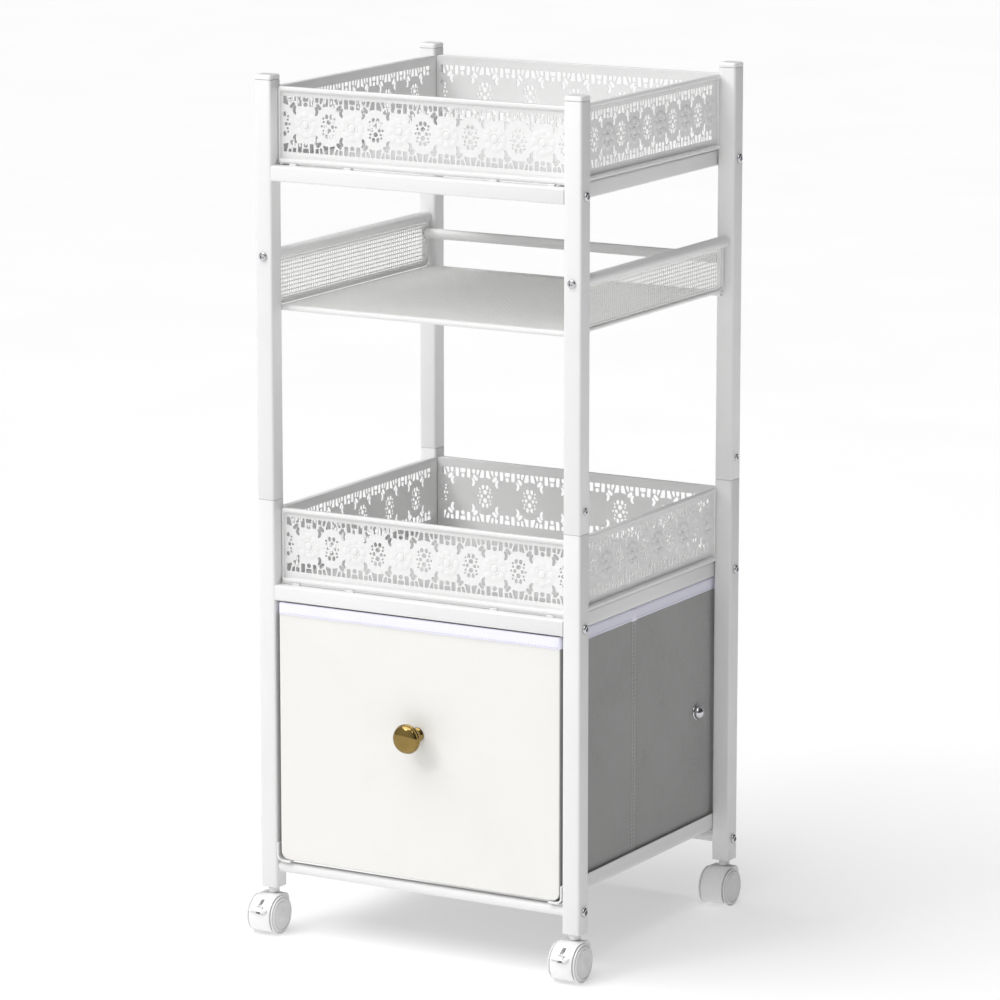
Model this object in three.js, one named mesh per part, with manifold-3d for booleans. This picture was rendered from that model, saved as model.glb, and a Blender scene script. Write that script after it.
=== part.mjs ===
// Rolling storage cart: four square posts in two spliced halves, three shelf frames, two trays with
// pierced galleries, a mesh basket, a fabric drawer on angle runners, and four swivel casters.
// Millimetres, +Z up, front of the cart towards -Y.
import * as THREE from "three";
import { mergeVertices } from "three/addons/utils/BufferGeometryUtils.js";
import Module from "manifold-3d";

const wasm = await Module();
wasm.setup();

// ---------------------------------------------------------------- driving dimensions
const WIDTH = 380; // over the posts, X
const DEPTH = 348; // over the posts, Y
const POST = 20; // square tube
const POST_WALL = 1.2;
const POST_R = 2.6; // outer corner radius
const POST_BOTTOM = 48;
const SPLICE_Z = 461;
const SPLICE_LENGTH = 42; // necked top of the lower half
const POST_TOP = 894.7;
const CAP_BASE = 895;
const CAP_TOP = 900;

const RAIL = 16; // square rail tube of the upper two frames
const RAIL_WALL = 1.2;
const FRAME_TOPS = { top: 808, middle: 372 };
const GAP = 0.3; // between neighbouring solids

const BOTTOM_TUBE_D = 12;
const BOTTOM_TUBE_Z = 70.5;
const BOTTOM_TUBE_IN = 9; // axis behind the post fronts
const ANGLE_LOW = 78;
const ANGLE_HIGH = 97.5;
const ANGLE_FLANGE = 16;
const ANGLE_T = 1.5;

const GALLERY_H = 77.5;
const GALLERY_LIFT = 2.5; // above the frame top
const GALLERY_T = 1.0;
const RIM = 4; // rolled rim height
const RIM_OUT = 6.5; // rim front face from the inner face of the sheet
const FRONT_WEB_IN = 16; // gallery sheet behind the post fronts
const DECK_T = 1.5;

const TUBE_D = 12; // basket side tube
const TUBE_Z = 714;
const REAR_RAIL_D = 11;
const REAR_RAIL_Z = 697;
const BORDER_D = 4;
const MESH_LOW = 661;
const FRONT_ROD_D = 6;
const FRONT_ROD_Z = 659;

const DRAWER_LOW = 80;
const DRAWER_HIGH = 353.5;
const DRAWER_HALF = 166; // half width
const DRAWER_FRONT_Y = -172;
const BOARD_T = 5;
const FABRIC_T = 3;
const DRAWER_BACK_Y = 162;
const KNOB_Z = 234;
const KNOB_REACH = 30;

const WHEEL_R = 20;
const WHEEL_W = 9.5;
const WHEEL_DRUM_R = 18.8; // part of the wheel under the hood
const CASTER_W = 31;
const CASTER_TRAIL = 10; // wheel axis ahead of the stem
const HOOD_W = 25;
const HOOD_R = 20.9;
const HOOD_TOP = 42.5;
const STEM_D = 8;

const hx = WIDTH / 2;
const hy = DEPTH / 2;
const ix = hx - POST; // inner faces of the posts
const iy = hy - POST;

// ---------------------------------------------------------------- materials
const finish = (color, roughness, metalness = 0) =>
  new THREE.MeshStandardMaterial({ color, roughness, metalness });
const whiteSteel = finish(0xf2f2f0, 0.42, 0.1);
const whitePlastic = finish(0xf4f4f2, 0.35);
const galleryWhite = finish(0xf5f5f3, 0.4, 0.1);
const meshWhite = finish(0xe6e6e4, 0.5, 0.1);
const bareSteel = finish(0x9a9a98, 0.3, 0.9);
const boardWhite = finish(0xf5f4f0, 0.8);
const greyFabric = finish(0x868584, 0.95);
const boardGrey = finish(0x8f8e8c, 0.9);
const gold = finish(0xc79a4b, 0.2, 0.95);
const wheelWhite = finish(0xf0f0ee, 0.3);

// ---------------------------------------------------------------- solids
function toSolid(geometry) {
  const g = geometry.clone();
  for (const name of Object.keys(g.attributes)) if (name !== "position") g.deleteAttribute(name);
  const merged = mergeVertices(g, 1e-4);
  const solid = new wasm.Manifold(
    new wasm.Mesh({
      numProp: 3,
      vertProperties: new Float32Array(merged.attributes.position.array),
      triVerts: new Uint32Array(merged.index.array),
    }),
  );
  return solid;
}

function toGeometry(solid) {
  const m = solid.getMesh();
  const g = new THREE.BufferGeometry();
  g.setAttribute("position", new THREE.BufferAttribute(new Float32Array(m.vertProperties), 3));
  g.setIndex(new THREE.BufferAttribute(new Uint32Array(m.triVerts), 1));
  g.computeVertexNormals();
  return g;
}

const join = (...s) => s.reduce((a, b) => a.add(b));
const cut = (a, ...s) => s.reduce((m, b) => m.subtract(b), a);

// box from its low and high corners
function block(x0, y0, z0, x1, y1, z1) {
  const g = new THREE.BoxGeometry(x1 - x0, y1 - y0, z1 - z0);
  g.translate((x0 + x1) / 2, (y0 + y1) / 2, (z0 + z1) / 2);
  return toSolid(g);
}

// cylinder between two points
function rod(a, b, d, sides = 24) {
  const va = new THREE.Vector3(...a);
  const vb = new THREE.Vector3(...b);
  const g = new THREE.CylinderGeometry(d / 2, d / 2, va.distanceTo(vb), sides);
  const q = new THREE.Quaternion().setFromUnitVectors(
    new THREE.Vector3(0, 1, 0),
    vb.clone().sub(va).normalize(),
  );
  g.applyQuaternion(q);
  g.translate((va.x + vb.x) / 2, (va.y + vb.y) / 2, (va.z + vb.z) / 2);
  return toSolid(g);
}

function ball(c, d, sides = 16) {
  const g = new THREE.SphereGeometry(d / 2, sides, sides / 2);
  g.translate(...c);
  return toSolid(g);
}

function roundedSquare(size, r, shape = new THREE.Shape()) {
  const h = size / 2;
  shape.moveTo(-h + r, -h);
  shape.lineTo(h - r, -h);
  shape.absarc(h - r, -h + r, r, -Math.PI / 2, 0, false);
  shape.lineTo(h, h - r);
  shape.absarc(h - r, h - r, r, 0, Math.PI / 2, false);
  shape.lineTo(-h + r, h);
  shape.absarc(-h + r, h - r, r, Math.PI / 2, Math.PI, false);
  shape.lineTo(-h, -h + r);
  shape.absarc(-h + r, -h + r, r, Math.PI, 1.5 * Math.PI, false);
  return shape;
}

// square bar or tube standing on z0
function squareBar(size, r, z0, z1, curveSegments = 2) {
  const g = new THREE.ExtrudeGeometry(roundedSquare(size, r), {
    depth: z1 - z0,
    bevelEnabled: false,
    curveSegments,
  });
  g.translate(0, 0, z0);
  return toSolid(g);
}

// outline in YZ, extruded along X from x0 to x1
function extrudeX(points, x0, x1) {
  const shape = new THREE.Shape(points.map(([y, z]) => new THREE.Vector2(y, z)));
  const g = new THREE.ExtrudeGeometry(shape, { depth: x1 - x0, bevelEnabled: false });
  g.applyMatrix4(new THREE.Matrix4().set(0, 0, 1, x0, 1, 0, 0, 0, 0, 1, 0, 0, 0, 0, 0, 1));
  return toSolid(g);
}

// outline in XZ, extruded along Y from y0 to y1
function extrudeY(points, y0, y1) {
  const shape = new THREE.Shape(points.map(([x, z]) => new THREE.Vector2(x, z)));
  const g = new THREE.ExtrudeGeometry(shape, { depth: y1 - y0, bevelEnabled: false });
  g.applyMatrix4(new THREE.Matrix4().set(1, 0, 0, 0, 0, 0, -1, y1, 0, 1, 0, 0, 0, 0, 0, 1));
  return toSolid(g);
}

// turned body about Z: profile of [radius, z], closed on the axis or on itself
function turned(profile, sides = 32) {
  const g = new THREE.LatheGeometry(
    profile.map(([r, z]) => new THREE.Vector2(r, z)),
    sides,
  );
  g.rotateX(Math.PI / 2);
  return toSolid(g);
}

const cart = new THREE.Group();
function add(name, solid, material, parent = cart) {
  const mesh = new THREE.Mesh(toGeometry(solid), material);
  mesh.name = name;
  parent.add(mesh);
  return mesh;
}

const corners = {
  fl: [-1, -1],
  fr: [1, -1],
  rl: [-1, 1],
  rr: [1, 1],
};

// ---------------------------------------------------------------- posts
// The lower half ends in a necked spigot; the upper half slides down over it to the seam.
const inner = POST - 2 * POST_WALL;
const spigot = inner - 2 * GAP;
for (const [key, [sx, sy]] of Object.entries(corners)) {
  const post = new THREE.Group();
  post.position.set(sx * (hx - POST / 2), sy * (hy - POST / 2), 0);
  cart.add(post);

  const lower = cut(
    join(
      squareBar(POST, POST_R, POST_BOTTOM, SPLICE_Z - GAP),
      squareBar(spigot, 1.6, SPLICE_Z - 4, SPLICE_Z + SPLICE_LENGTH),
    ),
    squareBar(inner, 1.4, POST_BOTTOM - 5, SPLICE_Z - 6),
    squareBar(spigot - 2 * POST_WALL, 0.8, SPLICE_Z - 10, SPLICE_Z + SPLICE_LENGTH + 5),
  );
  add(`post_lower_${key}`, lower, whiteSteel, post);

  const upper = cut(
    squareBar(POST, POST_R, SPLICE_Z, POST_TOP),
    squareBar(inner, 1.4, SPLICE_Z - 5, POST_TOP + 5),
  );
  add(`post_upper_${key}`, upper, whiteSteel, post);

  // cap: chamfered head with a plug that goes down the tube
  const capShape = roundedSquare(POST - 2.4, 1.6);
  const head = new THREE.ExtrudeGeometry(capShape, {
    depth: CAP_TOP - CAP_BASE - 2.4,
    bevelEnabled: true,
    bevelThickness: 1.2,
    bevelSize: 1.2,
    bevelSegments: 1,
    curveSegments: 2,
  });
  head.translate(0, 0, CAP_BASE + 1.2);
  add(
    `post_cap_${key}`,
    join(toSolid(head), squareBar(inner - 2 * GAP, 1.2, CAP_BASE - 14, CAP_BASE + 1)),
    whitePlastic,
    post,
  );

  // socket pressed into the foot of the post, with the bore for the caster stem
  add(
    `stem_socket_${key}`,
    cut(
      squareBar(inner - 2 * GAP, 1.2, POST_BOTTOM + GAP, POST_BOTTOM + 34),
      rod([0, 0, POST_BOTTOM - 5], [0, 0, POST_BOTTOM + 40], STEM_D + 2 * GAP, 14),
    ),
    whitePlastic,
    post,
  );
}

// ---------------------------------------------------------------- upper two shelf frames
// Welded square tube: front and rear rails run between the posts, flush with their fronts, and the
// side rails run between them in line with the posts' inner faces. Rail ends are open at the posts.
function shelfFrame(topZ) {
  const z0 = topZ - RAIL;
  const ox = ix - GAP;
  const w = RAIL_WALL;
  const solid = join(
    block(-ox, -hy, z0, ox, -hy + RAIL, topZ),
    block(-ox, hy - RAIL, z0, ox, hy, topZ),
    block(-ox, -hy + 1, z0, -ox + RAIL, hy - 1, topZ),
    block(ox - RAIL, -hy + 1, z0, ox, hy - 1, topZ),
  );
  // short feet on the rails lift the tray
  const feet = [];
  for (const s of [-1, 1]) {
    for (const x of [-150, -85, 85, 150]) {
      const y = s * (hy - RAIL + 3.5);
      feet.push(block(x - 2, y - 3, topZ - 0.5, x + 2, y + 3, topZ + GALLERY_LIFT - GAP));
    }
    for (const y of [-33, 33]) {
      const x = s * (ox - RAIL / 2 - 0.5);
      feet.push(block(x - 6, y - 2, topZ - 0.5, x + 6, y + 2, topZ + GALLERY_LIFT - GAP));
    }
  }
  return cut(
    join(solid, ...feet),
    block(-ox - 5, -hy + w, z0 + w, ox + 5, -hy + RAIL - w, topZ - w),
    block(-ox - 5, hy - RAIL + w, z0 + w, ox + 5, hy - w, topZ - w),
    block(-ox + w, -hy + RAIL - 3, z0 + w, -ox + RAIL - w, hy - RAIL + 3, topZ - w),
    block(ox - RAIL + w, -hy + RAIL - 3, z0 + w, ox - w, hy - RAIL + 3, topZ - w),
  );
}
add("top_frame", shelfFrame(FRAME_TOPS.top), whiteSteel);
add("middle_frame", shelfFrame(FRAME_TOPS.middle), whiteSteel);

// ---------------------------------------------------------------- bottom frame
// Two round cross tubes carry two angle runners, on which the drawer slides.
{
  const ox = ix - GAP;
  const ty = hy - BOTTOM_TUBE_IN;
  const angle = (s) =>
    join(
      block(Math.min(s * ox, s * (ox - ANGLE_T)), -hy, ANGLE_LOW, Math.max(s * ox, s * (ox - ANGLE_T)), hy, ANGLE_HIGH),
      block(Math.min(s * ox, s * (ox - ANGLE_FLANGE)), -hy, ANGLE_LOW, Math.max(s * ox, s * (ox - ANGLE_FLANGE)), hy, ANGLE_LOW + ANGLE_T),
      // weld pads between the angle and the cross tubes
      block(s > 0 ? ox - 12 : -ox, -ty - 3, BOTTOM_TUBE_Z, s > 0 ? ox : -ox + 12, -ty + 3, ANGLE_LOW + 0.5),
      block(s > 0 ? ox - 12 : -ox, ty - 3, BOTTOM_TUBE_Z, s > 0 ? ox : -ox + 12, ty + 3, ANGLE_LOW + 0.5),
    );
  const tube = (y) =>
    join(rod([-ox, y, BOTTOM_TUBE_Z], [ox, y, BOTTOM_TUBE_Z], BOTTOM_TUBE_D));
  const bore = (y) =>
    rod([-ox - 5, y, BOTTOM_TUBE_Z], [ox + 5, y, BOTTOM_TUBE_Z], BOTTOM_TUBE_D - 2.4);
  add(
    "bottom_frame",
    cut(join(tube(-ty), tube(ty), angle(-1), angle(1)), bore(-ty), bore(ty)),
    whiteSteel,
  );
}

// ---------------------------------------------------------------- trays
// Deck on the feet of the frame, and four separate pierced strips round it.
const webY = hy - FRONT_WEB_IN; // outer face of the front and rear strips
function deck(name, frameTop) {
  const z0 = frameTop + GALLERY_LIFT;
  const dx = ix - GALLERY_T - 2 * GAP;
  const dy = webY - GALLERY_T - GAP;
  add(name, block(-dx, -dy, z0, dx, dy, z0 + DECK_T), galleryWhite);
}

// strip cross-section: sheet with a rolled rim at top and bottom, outward side = +out
function stripSection(z0) {
  const z1 = z0 + GALLERY_H;
  const t = GALLERY_T;
  return [
    [0, z0],
    [RIM_OUT, z0],
    [RIM_OUT, z0 + RIM],
    [t, z0 + RIM],
    [t, z1 - RIM],
    [RIM_OUT, z1 - RIM],
    [RIM_OUT, z1],
    [0, z1],
  ];
}
function galleries(prefix, frameTop) {
  const z0 = frameTop + GALLERY_LIFT;
  const section = stripSection(z0);
  const fx = ix - GAP;
  const inY = webY - GALLERY_T;
  add(
    `${prefix}_gallery_front`,
    extrudeX(section.map(([o, z]) => [-(inY + o), z]).reverse(), -fx, fx),
    galleryWhite,
  );
  add(
    `${prefix}_gallery_rear`,
    extrudeX(section.map(([o, z]) => [inY + o, z]), -fx, fx),
    galleryWhite,
  );
  const inX = ix - GALLERY_T;
  const fy = iy - GAP;
  add(
    `${prefix}_gallery_left`,
    extrudeY(section.map(([o, z]) => [-(inX + o), z]).reverse(), -fy, fy),
    galleryWhite,
  );
  add(
    `${prefix}_gallery_right`,
    extrudeY(section.map(([o, z]) => [inX + o, z]), -fy, fy),
    galleryWhite,
  );
}
deck("top_tray_deck", FRAME_TOPS.top);
galleries("top", FRAME_TOPS.top);
deck("middle_tray_deck", FRAME_TOPS.middle);
galleries("middle", FRAME_TOPS.middle);

// ---------------------------------------------------------------- basket
// Welded frame: two side tubes between the front and rear posts, a border wire below each, a rear
// guard rail and the front and rear floor wires. The mesh panels are set inside the wires.
const tubeX = hx - POST / 2;
const borderX = tubeX - 2;
const borderZ = MESH_LOW + BORDER_D / 2;
const borderY = iy - GAP - FRONT_ROD_D / 2;
{
  const ey = iy - GAP;
  const side = (s) => {
    const x = s * borderX;
    return join(
      rod([s * tubeX, -ey, TUBE_Z], [s * tubeX, ey, TUBE_Z], TUBE_D),
      rod([x, -borderY, borderZ], [x, borderY, borderZ], BORDER_D, 12),
      rod([x, -borderY, borderZ], [x, -borderY, TUBE_Z - 2], BORDER_D, 12),
      rod([x, borderY, borderZ], [x, borderY, TUBE_Z - 2], BORDER_D, 12),
      ball([x, -borderY, borderZ], BORDER_D, 12),
      ball([x, borderY, borderZ], BORDER_D, 12),
    );
  };
  const railY = borderY - 4;
  const rail = rod([-borderX - 1, railY, REAR_RAIL_Z], [borderX + 1, railY, REAR_RAIL_Z], REAR_RAIL_D);
  const wire = (y) => rod([-borderX, y, FRONT_ROD_Z], [borderX, y, FRONT_ROD_Z], FRONT_ROD_D, 16);
  add(
    "basket_frame",
    join(side(-1), side(1), rail, wire(-borderY), wire(borderY)),
    whiteSteel,
  );
}
{
  const t = 1.2;
  const yIn = borderY - FRONT_ROD_D / 2 - GAP;
  const xIn = borderX - BORDER_D / 2 - GAP;
  add("basket_floor_mesh", block(-xIn, -yIn, 659.6, xIn, yIn, 659.6 + t), meshWhite);
  const z0 = borderZ + BORDER_D / 2 + GAP;
  const z1 = TUBE_Z - TUBE_D / 2 - GAP;
  // the panel stops short of the rear guard rail's end, which crosses its plane
  const y1 = borderY - 4 - REAR_RAIL_D / 2 - GAP;
  const y0 = borderY - BORDER_D / 2 - GAP;
  for (const [key, s] of [["left", -1], ["right", 1]]) {
    const x = s * borderX;
    add(`basket_side_mesh_${key}`, block(x - t / 2, -y0, z0, x + t / 2, y1, z1), meshWhite);
  }
}

// ---------------------------------------------------------------- drawer
{
  const w = DRAWER_HALF;
  const y0 = DRAWER_FRONT_Y + BOARD_T + GAP;
  const screwHole = (d) => rod([0, DRAWER_FRONT_Y - 2, KNOB_Z], [0, y0 + FABRIC_T + 2, KNOB_Z], d, 16);
  add(
    "drawer_box",
    cut(
      block(-w, y0, DRAWER_LOW, w, DRAWER_BACK_Y, DRAWER_HIGH),
      block(-w + FABRIC_T, y0 + FABRIC_T, DRAWER_LOW + FABRIC_T, w - FABRIC_T, DRAWER_BACK_Y - FABRIC_T, DRAWER_HIGH + 10),
      screwHole(5),
    ),
    greyFabric,
  );
  // stiff front board with rounded lower corners
  const r = 9;
  const shape = new THREE.Shape();
  shape.moveTo(-w, DRAWER_HIGH + 0.5);
  shape.lineTo(-w, DRAWER_LOW + r);
  shape.absarc(-w + r, DRAWER_LOW + r, r, Math.PI, 1.5 * Math.PI, false);
  shape.lineTo(w - r, DRAWER_LOW);
  shape.absarc(w - r, DRAWER_LOW + r, r, -Math.PI / 2, 0, false);
  shape.lineTo(w, DRAWER_HIGH + 0.5);
  const board = new THREE.ExtrudeGeometry(shape, { depth: BOARD_T, bevelEnabled: false, curveSegments: 3 });
  board.applyMatrix4(
    new THREE.Matrix4().set(1, 0, 0, 0, 0, 0, -1, DRAWER_FRONT_Y + BOARD_T, 0, 1, 0, 0, 0, 0, 0, 1),
  );
  add("drawer_front", cut(toSolid(board), screwHole(5)), boardWhite);
  add(
    "drawer_floor_board",
    block(
      -w + FABRIC_T + 1,
      y0 + FABRIC_T + 1,
      DRAWER_LOW + FABRIC_T + GAP,
      w - FABRIC_T - 1,
      DRAWER_BACK_Y - FABRIC_T - 1,
      DRAWER_LOW + FABRIC_T + GAP + 3,
    ),
    boardGrey,
  );
  // mushroom knob, turned about Y: foot flange, waist, domed head
  const knob = new THREE.Group();
  knob.position.set(0, DRAWER_FRONT_Y - GAP, KNOB_Z);
  knob.rotation.x = Math.PI / 2; // local +Z points to the front
  cart.add(knob);
  add(
    "drawer_knob",
    turned(
      [
        [2.3, 0],
        [7.5, 0],
        [7.5, 1.6],
        [5.4, 4],
        [4.9, 8],
        [5.4, 12],
        [8, 15.5],
        [13.2, 18.6],
        [15.5, 21.2],
        [15.5, 23.2],
        [13.4, 26.2],
        [9, 28.6],
        [4.5, KNOB_REACH - GAP - 0.3],
        [0, KNOB_REACH - GAP],
        [0, 13],
        [2.3, 13],
        [2.3, 0],
      ],
      24,
    ),
    gold,
    knob,
  );
  // screw from inside the drawer into the knob
  const y = -(BOARD_T + GAP + FABRIC_T + GAP) - GAP;
  add(
    "knob_screw",
    turned(
      [
        [0, y - 2.4],
        [4, y - 2.4],
        [4, y],
        [1.9, y],
        [1.9, 12],
        [0, 12],
        [0, y - 2.4],
      ],
      12,
    ),
    bareSteel,
    knob,
  );
}

// ---------------------------------------------------------------- casters
// Twin wheels on one axle under a hood; the hood swivels on the stem, which stays in the post.
function arc(cy, cz, r, a0, a1, n) {
  const out = [];
  for (let i = 0; i <= n; i++) {
    const a = THREE.MathUtils.degToRad(a0 + ((a1 - a0) * i) / n);
    out.push([cy + r * Math.cos(a), cz + r * Math.sin(a)]);
  }
  return out;
}
const axleY = -CASTER_TRAIL;
function hood(brake) {
  const w = HOOD_W / 2;
  const web = CASTER_W / 2 - WHEEL_W - 0.7; // half thickness between the wheels
  // outline, then the wheel pockets taken out of its sides
  const shell = extrudeX(
    [
      ...arc(axleY, WHEEL_R, HOOD_R, 95, 228, 11),
      [axleY - 7, WHEEL_R - 9],
      [axleY + 9, WHEEL_R - 8],
      [axleY + 19, WHEEL_R - 2],
      [axleY + 20.5, WHEEL_R + 9],
      [axleY + 18.5, HOOD_TOP - 2],
      [axleY + 16.5, HOOD_TOP],
      [axleY - 1, HOOD_TOP],
    ],
    -w,
    w,
  );
  const pocket = (s) =>
    rod(
      [s * web, axleY, WHEEL_R],
      [s * (w + 2), axleY, WHEEL_R],
      2 * (WHEEL_DRUM_R + 0.6),
      32,
    );
  let solid = cut(
    shell,
    pocket(-1),
    pocket(1),
    rod([-w - 2, axleY, WHEEL_R], [w + 2, axleY, WHEEL_R], 4.6, 10), // axle bore
    rod([0, 0, 26], [0, 0, HOOD_TOP + 2], STEM_D + 2 * GAP, 14), // stem bore
  );
  if (brake) {
    // slot for the brake lever's arm
    solid = cut(solid, block(-3.6, axleY - 30, WHEEL_R + 4, 3.6, axleY - 9, WHEEL_R + 13));
  }
  return solid;
}
for (const [key, [sx, sy]] of Object.entries(corners)) {
  const caster = new THREE.Group();
  caster.position.set(sx * (hx - POST / 2), sy * (hy - POST / 2), 0);
  cart.add(caster);
  const brake = sy < 0;

  add(
    `caster_stem_${key}`,
    turned(
      [
        [0, 30],
        [STEM_D / 2, 30],
        [STEM_D / 2, HOOD_TOP + GAP],
        [5.2, HOOD_TOP + GAP],
        [5.2, POST_BOTTOM - GAP],
        [STEM_D / 2, POST_BOTTOM - GAP],
        [STEM_D / 2, POST_BOTTOM + 30],
        [0, POST_BOTTOM + 30],
        [0, 30],
      ],
      14,
    ),
    bareSteel,
    caster,
  );
  add(`caster_hood_${key}`, hood(brake), whitePlastic, caster);
  add(
    `caster_axle_${key}`,
    rod([-CASTER_W / 2 + 1.6, axleY, WHEEL_R], [CASTER_W / 2 - 1.6, axleY, WHEEL_R], 4, 10),
    bareSteel,
    caster,
  );
  for (const [side, s] of [["left", -1], ["right", 1]]) {
    const wheel = new THREE.Group();
    wheel.position.set(s * (CASTER_W / 2 - WHEEL_W), axleY, WHEEL_R);
    wheel.rotation.y = (s * Math.PI) / 2; // local +Z points outwards
    caster.add(wheel);
    const r = WHEEL_R;
    add(
      `caster_wheel_${key}_${side}`,
      turned(
        [
          [2.3, 0],
          [WHEEL_DRUM_R, 0],
          [WHEEL_DRUM_R, WHEEL_W - 2.8],
          [r, WHEEL_W - 2.7],
          [r, WHEEL_W - 1.2],
          [r - 1.2, WHEEL_W],
          [0, WHEEL_W],
          [0, WHEEL_W - 1.2],
          [2.3, WHEEL_W - 1.2],
          [2.3, 0],
        ],
        28,
      ),
      wheelWhite,
      wheel,
    );
  }
  if (brake) {
    add(
      `brake_lever_${key}`,
      join(
        block(-3.2, axleY - 23, WHEEL_R + 8, 3.2, axleY - 11, WHEEL_R + 11),
        block(-4.6, axleY - 25.5, WHEEL_R + 7.4, 4.6, axleY - 21.2, WHEEL_R + 10),
      ),
      whitePlastic,
      caster,
    );
  }
}

// origin: centre of the bounding box, on the floor
const bounds = new THREE.Box3().setFromObject(cart);
cart.position.y = -(bounds.min.y + bounds.max.y) / 2;

export default cart;
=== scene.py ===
import math
import random

import bmesh
import bpy
from mathutils import Matrix, Vector, noise


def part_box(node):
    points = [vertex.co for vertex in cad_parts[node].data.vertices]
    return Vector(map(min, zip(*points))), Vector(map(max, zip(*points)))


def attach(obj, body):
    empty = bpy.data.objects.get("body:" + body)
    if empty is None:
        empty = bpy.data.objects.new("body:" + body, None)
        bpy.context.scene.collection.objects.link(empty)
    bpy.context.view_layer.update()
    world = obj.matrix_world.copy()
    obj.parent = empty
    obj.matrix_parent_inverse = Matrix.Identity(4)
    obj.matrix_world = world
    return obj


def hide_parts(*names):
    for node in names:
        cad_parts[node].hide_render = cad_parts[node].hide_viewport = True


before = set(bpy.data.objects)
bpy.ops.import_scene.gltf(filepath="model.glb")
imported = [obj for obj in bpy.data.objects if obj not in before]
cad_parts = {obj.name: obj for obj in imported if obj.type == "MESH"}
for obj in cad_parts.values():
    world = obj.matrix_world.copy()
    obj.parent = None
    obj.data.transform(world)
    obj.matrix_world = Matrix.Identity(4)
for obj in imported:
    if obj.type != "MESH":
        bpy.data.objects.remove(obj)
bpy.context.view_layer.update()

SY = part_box("post_lower_fl")[0].y * 1000 + 174.0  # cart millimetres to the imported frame
CORNERS = {"fl": (-1, -1), "fr": (1, -1), "rl": (-1, 1), "rr": (1, 1)}
HX, HY = 190.0, 174.0
IX, IY = 170.0, 154.0


# ------------------------------------------------------------------ mesh building, in cart millimetres
class Build:
    def __init__(self):
        self.v, self.f, self.m = [], [], []

    def rings(self, rings, loop=False, cap0=True, cap1=True, mi=0):
        off, n, rc = len(self.v), len(rings[0]), len(rings)
        for r in rings:
            self.v += [tuple(p) for p in r]
        for i in range(rc if loop else rc - 1):
            a, b = off + i * n, off + ((i + 1) % rc) * n
            for j in range(n):
                k = (j + 1) % n
                self.f.append((a + j, a + k, b + k, b + j))
                self.m.append(mi)
        if not loop:
            if cap0:
                self.f.append(tuple(off + j for j in reversed(range(n))))
                self.m.append(mi)
            if cap1:
                self.f.append(tuple(off + (rc - 1) * n + j for j in range(n)))
                self.m.append(mi)

    def raw(self, verts, faces, mi=0):
        off = len(self.v)
        self.v += [tuple(p) for p in verts]
        self.f += [tuple(i + off for i in f) for f in faces]
        self.m += [mi] * len(faces)


def make(name, b, mats, body, nodes=(), angle=32, recalc=True):
    me = bpy.data.meshes.new(name)
    me.from_pydata([(x * 0.001, (y + SY) * 0.001, z * 0.001) for x, y, z in b.v], [], b.f)
    mats = mats if isinstance(mats, (list, tuple)) else [mats]
    for m in mats:
        me.materials.append(m)
    me.polygons.foreach_set("material_index", b.m)
    if recalc:
        bm = bmesh.new()
        bm.from_mesh(me)
        bmesh.ops.recalc_face_normals(bm, faces=bm.faces)
        bm.to_mesh(me)
        bm.free()
    me.polygons.foreach_set("use_smooth", [True] * len(me.polygons))
    me.set_sharp_from_angle(angle=math.radians(angle))
    me.update()
    o = bpy.data.objects.new(name, me)
    bpy.context.scene.collection.objects.link(o)
    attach(o, body)
    if nodes:
        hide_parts(*([nodes] if isinstance(nodes, str) else nodes))
    return o


def rrect(w, h, r, n=5, cx=0.0, cy=0.0):
    """Rounded rectangle, anticlockwise."""
    r = max(0.01, min(r, w / 2, h / 2))
    out = []
    for sx, sy, a0 in ((1, 1, 0), (-1, 1, 90), (-1, -1, 180), (1, -1, 270)):
        for i in range(n + 1):
            a = math.radians(a0 + 90 * i / n)
            out.append((cx + sx * (w / 2 - r) + r * math.cos(a), cy + sy * (h / 2 - r) + r * math.sin(a)))
    return out


def circle(r, n):
    return [(r * math.cos(2 * math.pi * i / n), r * math.sin(2 * math.pi * i / n)) for i in range(n)]


def place(axis, p, t):
    """Point from section coordinates p at t along an axis."""
    if axis == "x":
        return (t, p[0], p[1])
    if axis == "y":
        return (p[0], t, p[1])
    return (p[0], p[1], t)


def square_tube(b, axis, centre, size, r, t0, t1, wall=1.2, deep0=30, deep1=30, edge=0.45, n=5, mi=0):
    """Rounded square tube along an axis; each end is open to the depth given, or shut with 0."""
    def ring(inset, t):
        s = size - 2 * inset
        return [place(axis, (centre[0] + u, centre[1] + v), t) for u, v in rrect(s, s, max(0.4, r - inset * 0.8), n)]
    rings = []
    if deep0:
        rings += [ring(wall, t0 + deep0), ring(wall, t0 + 0.2), ring(wall - 0.25, t0)]
    rings += [ring(edge, t0), ring(edge * 0.35, t0 + edge * 0.3), ring(0, t0 + edge), ring(0, t1 - edge), ring(edge * 0.35, t1 - edge * 0.3), ring(edge, t1)]
    if deep1:
        rings += [ring(wall - 0.25, t1), ring(wall, t1 - 0.2), ring(wall, t1 - deep1)]
    b.rings(rings, mi=mi)


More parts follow.
